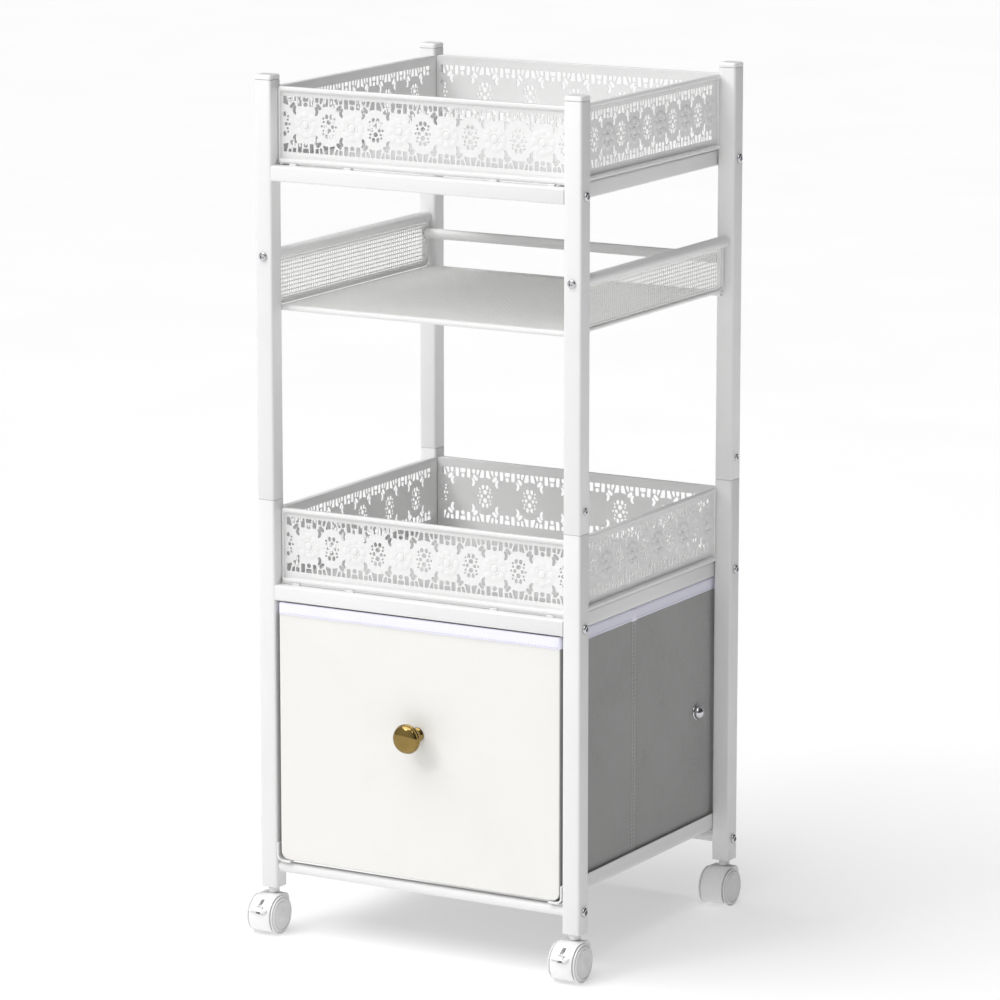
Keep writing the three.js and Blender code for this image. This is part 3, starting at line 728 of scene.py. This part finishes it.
def gallery(kind):
    """One pierced strip in (u, z from the strip's foot, o outward from the inner face)."""
    half, limit = (169.7, 166.4) if kind == "long" else (153.7, 147.6)
    holes, axes = lace(half, limit)
    mid = 39.05
    verts, faces = pierced_sheet(half - 0.4, 0.5, 77.0, [[(x, y + mid) for x, y in h] for h in holes])
    b = Build()
    b.raw(verts, faces)
    for f in axes:
        b.rings(relief(f, mid), cap0=True, cap1=True)
    # rolled rim as one loop: broad along the head and foot, slimmer up the two ends
    corner = 5.0
    path = []
    for sx, sz, a0 in ((1, 1, 0), (-1, 1, 90), (-1, -1, 180), (1, -1, 270)):
        cu0, cz0 = sx * (half - corner), 38.75 + sz * (38.75 - corner)
        for i in range(9):
            an = math.radians(a0 + 90 * i / 8)
            path.append((cu0 + corner * math.cos(an), cz0 + corner * math.sin(an), math.cos(an), math.sin(an)))
    rings = []
    for u, z, nu, nz in path:
        k = abs(nz) ** 1.5
        reach, width = 3.3 + 3.2 * k, 2.6 + 1.4 * k
        rings.append([(u - nu * w, z - nz * w, o) for o, w in rrect(reach - 0.2, width, 1.2, 4, (reach + 0.2) / 2, width / 2)])
    b.rings(rings, loop=True)
    # low step pressed into the sheet beside the head and foot rims
    for lo in (6.9, 70.6):
        sec = rrect(0.5, 0.9, 0.24, 2, 1.1, lo)
        b.rings([[(u, z, o) for o, z in sec] for u in (-half + 4.5, half - 4.5)])
    return b


for kind, names in (("long", ("front", "rear")), ("short", ("left", "right"))):
    g = gallery(kind)
    for side in names:
        for prefix, foot in (("top", 810.5), ("middle", 374.5)):
            b = Build()
            if side == "front":
                b.v = [(u, -(157 + o), foot + z) for u, z, o in g.v]
            elif side == "rear":
                b.v = [(u, 157 + o, foot + z) for u, z, o in g.v]
            elif side == "left":
                b.v = [(-(169 + o), u, foot + z) for u, z, o in g.v]
            else:
                b.v = [(169 + o, u, foot + z) for u, z, o in g.v]
            b.f, b.m = list(g.f), list(g.m)
            # lip under the strip that it stands on
            drop = 2.25 if prefix == "middle" else 1.15
            length = 168.6 if side in ("front", "rear") else 152.6
            q = len(b.v)
            sub = Build()
            if side in ("front", "rear"):
                f = -1 if side == "front" else 1
                rbox(sub, -length, min(f * 157.2, f * 162.2), foot - drop, length, max(f * 157.2, f * 162.2), foot + 0.6, 0.4)
            else:
                f = -1 if side == "left" else 1
                rbox(sub, min(f * 164.5, f * 169.4), -length, foot - drop, max(f * 164.5, f * 169.4), length, foot + 0.6, 0.4)
            b.raw(sub.v, sub.f)
            make(f"{prefix}_gallery_pierced_{side}", b, M_TRAY, "root", f"{prefix}_gallery_{side}", angle=30)

# ------------------------------------------------------------------ basket
b = Build()
for s in (-1, 1):
    L = 153.98
    lathe(b, (s * 180, -L, 714), (0, 1, 0), [(0, 0), (5.6, 0), (5.85, 0.1), (6.0, 0.4), (6.0, 2 * L - 0.4), (5.85, 2 * L - 0.1), (5.6, 2 * L), (0, 2 * L)], 36)
    path = fillet([(s * 178, -150.7, 709.5), (s * 178, -150.7, 663), (s * 178, 150.7, 663), (s * 178, 150.7, 709.5)], 7.5, 7)
    rod(b, path, 2.0, 14)
    for y in (-150.7, 150.7):
        weld(b, (s * 178 - 2.2, y, 708.6), (s * 178 + 2.2, y, 708.6), 1.6, seed=s)
rod(b, [(-176.6, 146.7, 697), (-60, 146.7, 697), (60, 146.7, 697), (176.6, 146.7, 697)], 5.5, 28, dome=0.25)
for y in (-150.7, 150.7):
    rod(b, [(-177.5, y, 659), (-60, y, 659), (60, y, 659), (177.5, y, 659)], 3.0, 20, dome=0.4)
    for s in (-1, 1):
        weld(b, (s * 176.8, y, 659.2), (s * 178.4, y, 662.6), 2.2, seed=s)
make("basket_wire_frame", b, M_STEEL, "root", "basket_frame")


def straight(b, p0, p1, r, n=6):
    p0, p1 = Vector(p0), Vector(p1)
    t = (p1 - p0).normalized()
    s = t.orthogonal().normalized()
    o = t.cross(s)
    b.rings([[p + s * (r * math.cos(2 * math.pi * (j + 0.5) / n)) + o * (r * math.sin(2 * math.pi * (j + 0.5) / n)) for j in range(n)] for p in (p0, p1)])


# floor mesh: two layers of fine wire welded at each crossing, in a flat hem
b = Build()
X, Y = 175.2, 147.0
nx, ny = 86, 72
for i in range(1, nx):
    x = -X + 2 * X * i / nx
    straight(b, (x, -Y, 660.75), (x, Y, 660.75), 0.6)
for j in range(1, ny):
    y = -Y + 2 * Y * j / ny
    straight(b, (-X, y, 659.9), (X, y, 659.9), 0.6)
hem = [(-X + 1.2, -Y + 1.2, 660.3), (X - 1.2, -Y + 1.2, 660.3), (X - 1.2, Y - 1.2, 660.3), (-X + 1.2, Y - 1.2, 660.3)]
sweep(b, fillet(hem, 3, 4, closed=True), rrect(3.4, 1.9, 0.6, 3), (0, 0, 1), closed=True)
make("basket_floor_wire_mesh", b, M_MESH, "root", "basket_floor_mesh")

for side, s in (("left", -1), ("right", 1)):
    b = Build()
    y0, y1, z0, z1 = -148.3, 148.3, 665.4, 707.6
    ny, nz = 70, 10
    for i in range(1, ny):
        y = y0 + (y1 - y0) * i / ny
        straight(b, (s * 178.35, y, z0), (s * 178.35, y, z1), 0.58)
    for j in range(1, nz):
        z = z0 + (z1 - z0) * j / nz
        straight(b, (s * 177.6, y0, z), (s * 177.6, y1, z), 0.78)
    ring = fillet([(s * 178, y0 + 1.6, z0 + 1.1), (s * 178, y1 - 1.6, z0 + 1.1), (s * 178, y1 - 1.6, z1 - 1.1), (s * 178, y0 + 1.6, z1 - 1.1)], 4, 5, closed=True)
    sweep(b, ring, rrect(2.6, 1.7, 0.6, 3), (1, 0, 0), closed=True)
    # the hem is broad at the rear end
    rbox(b, s * 178 - 0.6, y1 - 7.5, z0 + 1, s * 178 + 0.6, y1 - 0.6, z1 - 1, 0.4)
    make(f"basket_side_wire_mesh_{side}", b, M_MESH, "root", f"basket_side_mesh_{side}")

# ------------------------------------------------------------------ drawer
random.seed(7)
DW = 166.0
Y0, Y1 = -166.7, 168.0  # fabric box
Z0, Z1 = 80.0, 353.0


def cloth_box():
    """Sewn cloth box over stiff boards: flat panels that swell a little, soft corners, turned foot."""
    def loop(inset, r, z):
        """Points round the box, clockwise seen from above, closely spaced."""
        x, ya, yb = DW - inset, Y0 + inset, Y1 - inset
        pts = []
        nxp, nyp, nc = 44, 44, 6
        for i in range(nxp):
            pts.append((-x + r + (2 * x - 2 * r) * i / nxp, ya, 0, -1))
        for i in range(nc):
            a = math.radians(-90 + 90 * i / nc)
            pts.append((x - r + r * math.cos(a), ya + r + r * math.sin(a), math.cos(a), math.sin(a)))
        for i in range(nyp):
            pts.append((x, ya + r + (yb - ya - 2 * r) * i / nyp, 1, 0))
        for i in range(nc):
            a = math.radians(90 * i / nc)
            pts.append((x - r + r * math.cos(a), yb - r + r * math.sin(a), math.cos(a), math.sin(a)))
        for i in range(nxp):
            pts.append((x - r - (2 * x - 2 * r) * i / nxp, yb, 0, 1))
        for i in range(nc):
            a = math.radians(90 + 90 * i / nc)
            pts.append((-x + r + r * math.cos(a), yb - r + r * math.sin(a), math.cos(a), math.sin(a)))
        for i in range(nyp):
            pts.append((-x, yb - r - (yb - ya - 2 * r) * i / nyp, -1, 0))
        for i in range(nc):
            a = math.radians(180 + 90 * i / nc)
            pts.append((-x + r + r * math.cos(a), ya + r + r * math.sin(a), math.cos(a), math.sin(a)))
        out = []
        for px, py, nxv, nyv in pts:
            v = (z - Z0) / (Z1 - Z0)
            if abs(nyv) > 0.9:
                u = (px + DW) / (2 * DW)
            else:
                u = (py - Y0) / (Y1 - Y0)
            crown = max(0.0, math.sin(math.pi * min(1, max(0, u)))) ** 0.6 * max(0.0, math.sin(math.pi * min(1, max(0, v)))) ** 0.6
            wr = noise.noise(Vector((px * 0.011, py * 0.011, z * 0.014))) * 0.9 + noise.noise(Vector((px * 0.035, py * 0.035, z * 0.02))) * 0.35
            if nyv < -0.5:
                d = -0.2  # held flat behind the front board
            else:
                d = crown * (0.55 + 0.75 * wr) - 0.15
            out.append((px + nxv * d, py + nyv * d, z))
        return out
    rings = []
    for i in range(6):  # turned foot
        a = math.pi / 2 * i / 5
        rings.append(loop(4.5 * (1 - math.sin(a)), 5.0, Z0 + 4.5 * (1 - math.cos(a))))
    n = 40
    for i in range(1, n + 1):
        rings.append(loop(0.0, 5.0, Z0 + 4.5 + (Z1 - Z0 - 4.5) * i / n))
    rings.append(loop(0.6, 4.6, Z1 + 0.3))
    rings.append(loop(2.2, 3.6, Z1 + 0.3))
    for i in range(n, -1, -1):
        rings.append(loop(2.8, 3.4, Z0 + 3.0 + (Z1 - Z0 - 3.0) * i / n))
    b = Build()
    b.rings(rings)
    return b


make("drawer_cloth_body", cloth_box(), M_GREY, "drawer", "drawer_box", angle=50)

# stiff front board: rounded lower corners, eased edge
b = Build()


def board_outline(inset, y):
    pts = []
    x, zl, zh, r = DW - inset, 80.0 + inset, 353.9 - inset * 0.3, 9.0 - inset * 0.6
    pts.append((x, y, zh))
    for i in range(61):
        pts.append((x - 2 * x * i / 60, y, zh)) if 0 < i < 60 else None
    pts.append((-x, y, zh))
    for i in range(1, 30):
        pts.append((-x, y, zh - (zh - zl - r) * i / 30))
    for i in range(9):
        a = math.radians(180 + 90 * i / 8)
        pts.append((-x + r + r * math.cos(a), y, zl + r + r * math.sin(a)))
    for i in range(1, 60):
        pts.append((-x + r + (2 * x - 2 * r) * i / 60, y, zl))
    for i in range(9):
        a = math.radians(270 + 90 * i / 8)
        pts.append((x - r + r * math.cos(a), y, zl + r + r * math.sin(a)))
    for i in range(1, 30):
        pts.append((x, y, zl + r + (zh - zl - r) * i / 30))
    return pts


front_rings = []
for q, y in ((0.8, -167.0), (0.2, -167.25), (0.0, -167.8), (0.0, -170.6), (0.35, -171.3), (0.95, -171.7), (1.8, -171.92), (3.2, -172.0)):
    front_rings.append(board_outline(q, y))
b.rings(front_rings)
b.m = [1 if min(b.v[i][1] for i in f) > -171.35 else 0 for f in b.f]
make("drawer_front_board", b, [M_FRONT, M_GREY], "drawer", "drawer_front", angle=40)

# binding tape folded over the rim all the way round
b = Build()
BX, BY0, BY1 = DW + 0.1, -172.0, 168.1
loop_pts = fillet([(-BX, BY0, 0), (BX, BY0, 0), (BX, BY1, 0), (-BX, BY1, 0)], 3.2, 6, closed=True)
dense = []
for i, p in enumerate(loop_pts):
    q = loop_pts[(i + 1) % len(loop_pts)]
    steps = max(1, int((q - p).length / 6))
    for j in range(steps):
        dense.append(p + (q - p) * (j / steps))
ZB, ZT = 341.8, 354.4
# section (outward, up): outer face, over the top, and down inside
sec = [(0.15, ZB), (0.75, ZB + 0.15), (0.85, ZB + 0.7), (0.7, ZB + 3), (0.75, ZT - 2.2), (0.4, ZT - 0.7), (-0.6, ZT), (-1.9, ZT), (-2.9, ZT - 0.7), (-3.3, ZT - 2.2), (-3.3, ZB + 1), (-3.0, ZB + 0.4), (-2.4, ZB + 0.3), (-1.4, ZB + 6), (-0.6, ZB + 6)]
rings = []
for i, p in enumerate(dense):
    a, c = dense[i - 1], dense[(i + 1) % len(dense)]
    t = (c - a).normalized()
    side = Vector((t.y, -t.x, 0))
    wob = 0.18 * noise.noise(Vector((p.x * 0.03, p.y * 0.03, 3.0)))
    wobz = 0.35 * noise.noise(Vector((p.x * 0.02, p.y * 0.02, 9.0)))
    rings.append([(p.x + side.x * (u + (wob if u > 0.3 else 0)), p.y + side.y * (u + (wob if u > 0.3 else 0)), w + (wobz if w < ZB + 4 else 0)) for u, w in sec])
b.rings(rings, loop=True)
make("drawer_binding_tape", b, M_BIND, "drawer", angle=50)


def stitch(b, p, t, out, length=2.5, r=0.24):
    """One raised thread stitch lying along t on a face whose outward direction is out."""
    p, t, out = Vector(p), Vector(t).normalized(), Vector(out).normalized()
    side = t.cross(out)
    rings = []
    for f, h, k in ((-0.5, -0.25, 0.5), (-0.34, 0.1, 0.95), (0.0, 0.22, 1.0), (0.34, 0.1, 0.95), (0.5, -0.25, 0.5)):
        c = p + t * (f * length) + out * h
        rings.append([c + side * (r * 1.25 * k * math.cos(2 * math.pi * j / 6)) + out * (r * k * math.sin(2 * math.pi * j / 6)) for j in range(6)])
    b.rings(rings)


b = Build()
walk, gap = 0.0, 3.6
total = len(dense)
acc = 0.0
for i, p in enumerate(dense):
    q = dense[(i + 1) % total]
    d = (q - p).length
    while acc < d:
        c = p + (q - p) * (acc / d)
        t = (q - p).normalized()
        side = Vector((t.y, -t.x, 0))
        c2 = c + side * 0.78
        stitch(b, (c2.x, c2.y, ZB + 1.9), t, side, 2.6, 0.4)
        acc += gap
    acc -= d
make("drawer_binding_stitches", b, M_THREAD, "drawer", angle=60)

# side seams: a lapped strip with two rows of stitching, and the tape's lap above it
for side, s in (("left", -1), ("right", 1)):
    b = Build()
    ys = -17.0
    zs = [86 + (341 - 86) * i / 40 for i in range(41)]
    rings = []
    for z in zs:
        v = (z - Z0) / (Z1 - Z0)
        u = (ys - Y0) / (Y1 - Y0)
        wr = noise.noise(Vector((s * DW * 0.011, ys * 0.011, z * 0.014))) * 0.9 + noise.noise(Vector((s * DW * 0.035, ys * 0.035, z * 0.02))) * 0.35
        d = math.sin(math.pi * u) ** 0.6 * math.sin(math.pi * v) ** 0.6 * (0.55 + 0.75 * wr) - 0.15
        base = s * (DW + d)
        rings.append([(base + s * o, ys + w, z) for w, o in ((-4.6, -0.5), (-4.5, 0.12), (-4.0, 0.38), (0.0, 0.42), (4.0, 0.38), (4.5, 0.12), (4.6, -0.5))])
    b.rings(rings, mi=0)
    for i in range(62):
        z = 88 + i * 4.1
        k = min(39, max(0, int((z - 86) / (341 - 86) * 40)))
        x = rings[k][3][0]
        for w in (-2.6, 2.6):
            sub = Build()
            stitch(sub, (x, ys + w, z), (0, 0, 1), (s, 0, 0), 2.9, 0.3)
            b.raw(sub.v, sub.f, 1)
    make(f"drawer_side_seam_{side}", b, [M_GREY, M_GTHREAD], "drawer", angle=50)
    b = Build()
    rbox(b, min(s * (DW + 0.3), s * (DW + 1.7)), ys - 5, ZB - 0.6, max(s * (DW + 0.3), s * (DW + 1.7)), ys + 5, ZT - 0.6, 0.5)
    for w in (-3.4, 3.4):
        for i in range(4):
            stitch(b, (s * (DW + 1.72), ys + w, ZB + 1.8 + i * 2.9), (0, 0, 1), (s, 0, 0), 2.2, 0.26)
    make(f"drawer_binding_lap_{side}", b, M_BIND, "drawer", angle=40)
    # domed stop rivet near the back
    b = Build()
    prof = [(8.0, -0.4), (8.2, 0.2), (8.0, 0.9), (7.4, 1.3), (7.1, 1.5), (7.1, 2.6)]
    for i in range(1, 11):
        a = math.pi / 2 * i / 10
        prof.append((7.1 * math.cos(a) if i < 10 else 0, 2.6 + 6.0 * math.sin(a)))
    lathe(b, (s * 166.1, 123.5, 215), (s, 0, 0), prof, 36)
    lathe(b, (s * 163.1, 123.5, 215), (-s, 0, 0), [(5.5, 0.0), (5.7, 0.4), (5.2, 1.1), (0, 1.4)], 28)
    make(f"drawer_stop_rivet_{side}", b, M_CHROME, "drawer", angle=30)

# floor board inside, covered in cloth
b = Build()
prof = [(1.2, 83.3), (0.2, 83.8), (0.0, 84.6), (0.2, 85.6), (1.0, 86.2), (2.5, 86.4), (40, 86.5)]
b.rings([[(u, v, z) for u, v in rrect(324 - 2 * q, 320.4 - 2 * q, max(2.0, 6 - q * 0.1), 5, 0, -2.3)] for q, z in prof])
make("drawer_floor_board_covered", b, M_BOARD, "drawer", "drawer_floor_board")

# mushroom knob
b = Build()
kp = [(2.3, 0.0), (7.3, 0.0), (7.6, 0.35), (7.6, 1.2), (7.2, 1.7), (6.2, 2.6), (5.5, 4.0), (5.05, 6.0), (4.9, 8.0), (5.0, 10.0), (5.4, 12.0), (6.4, 14.0), (8.4, 15.8), (11.2, 17.4), (13.4, 18.6), (14.6, 19.4), (15.2, 20.2), (15.5, 21.2), (15.5, 21.9), (15.3, 22.5), (14.9, 22.8), (14.75, 23.1), (14.6, 23.8)]
for i in range(1, 13):
    a = math.pi / 2 * i / 12
    kp.append((14.6 * math.cos(a) if i < 12 else 0, 23.8 + 5.8 * math.sin(a)))
lathe(b, (0, -172.3, 234), (0, -1, 0), kp, 72)
make("drawer_knob_gold", b, M_GOLD, "drawer", "drawer_knob", angle=40)


# ------------------------------------------------------------------ casters
def arc(cy, cz, r, a0, a1, n):
    return [(cy + r * math.cos(math.radians(a0 + (a1 - a0) * i / n)), cz + r * math.sin(math.radians(a0 + (a1 - a0) * i / n))) for i in range(n + 1)]


def shrink(poly, d):
    """Closed outline moved inward by d."""
    n, out = len(poly), []
    area = sum(poly[i][0] * poly[(i + 1) % n][1] - poly[(i + 1) % n][0] * poly[i][1] for i in range(n))
    sg = 1 if area > 0 else -1
    for i in range(n):
        a, p, c = Vector(poly[i - 1]), Vector(poly[i]), Vector(poly[(i + 1) % n])
        d0, d1 = (p - a).normalized(), (c - p).normalized()
        n0, n1 = Vector((-d0.y, d0.x)) * sg, Vector((-d1.y, d1.x)) * sg
        m = (n0 + n1).normalized()
        k = d / max(0.5, m.dot(n0))
        out.append((p.x + m.x * k, p.y + m.y * k))
    return out


def temp(name, b):
    me = bpy.data.meshes.new(name)
    me.from_pydata(b.v, [], b.f)
    bm = bmesh.new()
    bm.from_mesh(me)
    bmesh.ops.recalc_face_normals(bm, faces=bm.faces)
    bm.to_mesh(me)
    bm.free()
    o = bpy.data.objects.new(name, me)
    bpy.context.scene.collection.objects.link(o)
    return o


def carve(base, cutters):
    """Vertices and faces of base with the cutters taken out of it."""
    o = temp("carve_base", base)
    tools = []
    for i, c in enumerate(cutters):
        t = temp(f"carve_tool{i}", c)
        m = o.modifiers.new(f"b{i}", "BOOLEAN")
        m.operation, m.solver, m.object = "DIFFERENCE", "EXACT", t
        tools.append(t)
    bpy.context.view_layer.update()
    me = bpy.data.meshes.new_from_object(o.evaluated_get(bpy.context.evaluated_depsgraph_get()))
    v = [tuple(p.co) for p in me.vertices]
    f = [tuple(p.vertices) for p in me.polygons]
    bpy.data.meshes.remove(me)
    for t in [o, *tools]:
        bpy.data.objects.remove(t)
    return v, f


AY = -10.0  # axle ahead of the stem


def hood(brake):
    b = Build()
    outline = arc(AY, 20, 20.9, 96, 228, 26) + [(AY - 7, 11.0), (AY + 9, 12.0), (AY + 17, 16), (AY + 19.2, 19), (AY + 20.2, 24), (AY + 20.5, 30), (AY + 20.0, 35), (AY + 18.6, 38.2), (AY + 16.8, 39.8), (AY + 14.5, 40.6), (AY + 6, 40.9), (AY + 1.5, 41.1), (AY - 0.6, 41.1)]
    rings = []
    for q, x in ((0.8, -12.6), (0.25, -12.4), (0.0, -11.8), (0.0, 11.8), (0.25, 12.4), (0.8, 12.6)):
        rings.append([(x, y, z) for y, z in shrink(outline, q)])
    b.rings(rings)
    cutters = []
    for s in (-1, 1):
        c = Build()
        lathe(c, (s * 5.3, AY, 20), (s, 0, 0), [(19.5, 0), (19.5, 12)], 48)
        cutters.append(c)
    # slanted recess on the front of the drum, and the brake lever's slot
    c = Build()
    c.rings([[(x, y, z) for x, z in ((-2.9, 31.8), (1.5, 31.8), (2.6, 37.4), (-1.8, 37.4))] for y in (AY - 30, AY - 6)])
    if brake:
        cutters.append(c)
        c = Build()
        c.rings([[(x, y, z) for x, z in ((-3.7, 23.9), (3.7, 23.9), (3.7, 31.2), (-3.7, 31.2))] for y in (AY - 30, AY - 10)])
        cutters.append(c)
    v, f = carve(b, cutters)
    return v, f


hood_plain = hood(False)
hood_brake = hood(True)

for k, (sx, sy) in CORNERS.items():
    cx, cy = sx * 180, sy * 164
    brake = sy < 0
    v, f = hood_brake if brake else hood_plain
    b = Build()
    b.raw([(x + cx, y + cy, z) for x, y, z in v], f)
    make(f"caster_hood_moulded_{k}", b, M_CASTER, f"caster_swivel_{k}", f"caster_hood_{k}", angle=28)
    # plain steel stem and the white collar on it
    b = Build()
    lathe(b, (cx, cy, 30), (0, 0, 1), [(0, 0), (3.4, 0), (4.0, 0.6), (4.0, 46.5), (3.2, 48), (0, 48)], 24)
    make(f"caster_stem_rod_{k}", b, M_ZINC, "root", f"caster_stem_{k}")
    b = Build()
    lathe(b, (cx, cy, 41.4), (0, 0, 1), [(4.05, 0.0), (5.6, 0.0), (5.8, 0.3), (5.8, 4.4), (5.5, 4.8), (4.8, 5.0), (4.8, 6.1), (4.05, 6.3)], 32)
    make(f"caster_collar_{k}", b, M_CASTER, "root")
    for side, s in (("left", -1), ("right", 1)):
        b = Build()
        # drum under the hood, tread flange, stepped rim, dished face with a hub button
        prof = [(2.4, 0.0), (17.6, 0.0), (18.2, 0.4), (18.3, 1.0), (18.3, 7.5), (18.5, 7.6), (19.6, 7.65), (20.0, 7.95), (20.0, 8.9), (19.85, 9.25), (19.45, 9.45), (18.9, 9.5), (18.5, 9.4), (18.3, 8.8), (17.95, 8.8), (17.8, 9.4), (17.7, 10.0), (17.35, 10.5), (16.7, 10.8), (16.1, 10.9), (15.75, 10.7), (15.55, 10.0), (15.05, 10.0), (14.8, 10.6), (9.0, 10.8), (4.2, 10.8), (3.9, 10.95), (3.0, 11.0), (0, 11.0)]
        lathe(b, (cx + s * 6.0, cy + AY, 20), (s, 0, 0), prof, 64)
        make(f"wheel_twin_{k}_{side}", b, M_WHEEL, f"wheel_{k}_{side}", f"caster_wheel_{k}_{side}", angle=30)
    if brake:
        b = Build()
        rbox(b, cx - 3.1, cy + AY - 22.5, 28.1, cx + 3.1, cy + AY - 11.2, 30.8, 0.6)
        # long ridge of the pedal on one side, sloping wedge on the other
        ridge = []
        for x, q in ((-11.2, 0.5), (-10.8, 0.1), (-10.2, 0.0), (1.0, 0.0), (2.0, 0.1), (2.4, 0.5)):
            o = shrink([(AY - 21.1, 27.3), (AY - 19.9, 29.6), (AY - 21.4, 29.5), (AY - 22.9, 28.6), (AY - 23.3, 27.6), (AY - 22.4, 27.0)], q * 0.8)
            ridge.append([(cx + x, cy + y, z) for y, z in o])
        b.rings(ridge)
        wedge = []
        for x, k2 in ((3.4, 1.0), (4.2, 1.0), (6.0, 0.75), (8.0, 0.42), (9.3, 0.16)):
            o = [(AY - 20.5 - 1.6 * k2, 24.8 + 3.2 * (1 - k2)), (AY - 19.8, 29.6), (AY - 20.7 - 2.6 * k2, 30.0), (AY - 21.3 - 4.0 * k2, 28.6), (AY - 21.4 - 2.1 * k2, 26.2 + 1.4 * (1 - k2))]
            wedge.append([(cx + x, cy + y, z) for y, z in o])
        b.rings(wedge)
        # dark block seen in the slot below the pedal's pad: painted shade, a flat dark grey standing in for the shadow
        # inside the slot
        hole = Build()
        rbox(hole, cx - 3.0, cy + AY - 18.2, 25.8, cx + 3.0, cy + AY - 16.8, 28.4, 0.2)
        b.raw(hole.v, hole.f, 1)
        # centre pad with a rounded lip
        pad = Build()
        rings = []
        for x, q in ((-4.6, 0.7), (-4.1, 0.15), (-3.6, 0.0), (3.6, 0.0), (4.1, 0.15), (4.6, 0.7)):
            o = shrink([(AY - 21.3, 27.5), (AY - 21.3, 30.6), (AY - 22.4, 31.0), (AY - 24.2, 30.4), (AY - 25.3, 29.2), (AY - 25.4, 28.0), (AY - 24.8, 27.4)], q)
            rings.append([(cx + x, cy + y, z) for y, z in o])
        b.rings(rings)
        make(f"brake_tab_{k}", b, [M_CASTER, M_SLOT_SHADE_PAINT], f"brake_{k}", f"brake_lever_{k}", angle=30)

# ------------------------------------------------------------------ stage, light, camera
me = bpy.data.meshes.new("studio_floor")
bm = bmesh.new()
bmesh.ops.create_grid(bm, x_segments=24, y_segments=24, size=60)
bm.to_mesh(me)
bm.free()
floor = bpy.data.objects.new("studio_floor", me)
bpy.context.scene.collection.objects.link(floor)
m, nt, bsdf, co = nodes_of("studio_floor_paint")
fn = noise_node(nt, co, 3.0, 3.0)
nt.links.new(ramp(nt, fn.outputs["Fac"], [(0.35, (0.62, 0.62, 0.62)), (0.65, (0.64, 0.64, 0.64))]), bsdf.inputs["Base Color"])
bsdf.inputs["Emission Color"].default_value = (1, 1, 1, 1)
bsdf.inputs["Emission Strength"].default_value = 0.42
bsdf.inputs["Roughness"].default_value = 0.75
bsdf.inputs["Specular IOR Level"].default_value = 0.2
me.materials.append(m)

world = bpy.data.worlds.new("studio")
bpy.context.scene.world = world
world.use_nodes = True
wn = world.node_tree
bg = wn.nodes["Background"]
wc = wn.nodes.new("ShaderNodeTexCoord")
dot = wn.nodes.new("ShaderNodeVectorMath")
dot.operation = "DOT_PRODUCT"
dot.inputs[1].default_value = (-0.48, -0.70, 0.42)  # the room is brighter in front and to the left
wn.links.new(wc.outputs["Generated"], dot.inputs[0])
wr = wn.nodes.new("ShaderNodeValToRGB")
wn.links.new(dot.outputs["Value"], wr.inputs["Fac"])
els = wr.color_ramp.elements
els[0].position, els[0].color = 0.0, (0.10, 0.10, 0.102, 1)
els[1].position, els[1].color = 0.9, (0.86, 0.86, 0.86, 1)
e = els.new(0.30)
e.color = (0.30, 0.30, 0.304, 1)
wn.links.new(wr.outputs["Color"], bg.inputs["Color"])
bg.inputs["Strength"].default_value = 0.72

sun = bpy.data.lights.new("key", "SUN")
sun.energy = 2.15
sun.angle = math.radians(58)
key = bpy.data.objects.new("key", sun)
bpy.context.scene.collection.objects.link(key)
key.rotation_mode = "QUATERNION"
key.rotation_quaternion = (-Vector((-0.24, -0.30, 0.92))).to_track_quat("-Z", "Y")

for name, where, size, energy in (("softbox", (-1.3, -3.0, 2.6), (0.9, 0.5), 20.0), ("softbox_side", (1.6, -2.4, 3.0), (0.5, 0.5), 6.0)):
    lamp = bpy.data.lights.new(name, "AREA")
    lamp.shape = "RECTANGLE"
    lamp.size, lamp.size_y = size
    lamp.energy = energy
    lamp_o = bpy.data.objects.new(name, lamp)
    bpy.context.scene.collection.objects.link(lamp_o)
    lamp_o.location = where
    lamp_o.rotation_mode = "QUATERNION"
    lamp_o.rotation_quaternion = (Vector((0, 0, 0.45)) - Vector(where)).to_track_quat("-Z", "Y")

cam_data = bpy.data.cameras.new("camera")
cam_data.sensor_width = 36
cam_data.lens = 186.8
cam_data.clip_start, cam_data.clip_end = 0.1, 200
cam = bpy.data.objects.new("camera", cam_data)
bpy.context.scene.collection.objects.link(cam)
yaw, pitch = math.radians(29.808), math.radians(11.427)
cam.location = (2.6316, -4.5962 + SY * 0.001, 1.5188)
forward = Vector((-math.sin(yaw) * math.cos(pitch), math.cos(yaw) * math.cos(pitch), -math.sin(pitch)))
cam.rotation_mode = "QUATERNION"
cam.rotation_quaternion = forward.to_track_quat("-Z", "Y")
bpy.context.scene.camera = cam
bpy.context.scene.view_settings.view_transform = "Standard"
bpy.context.scene.view_settings.look = "None"
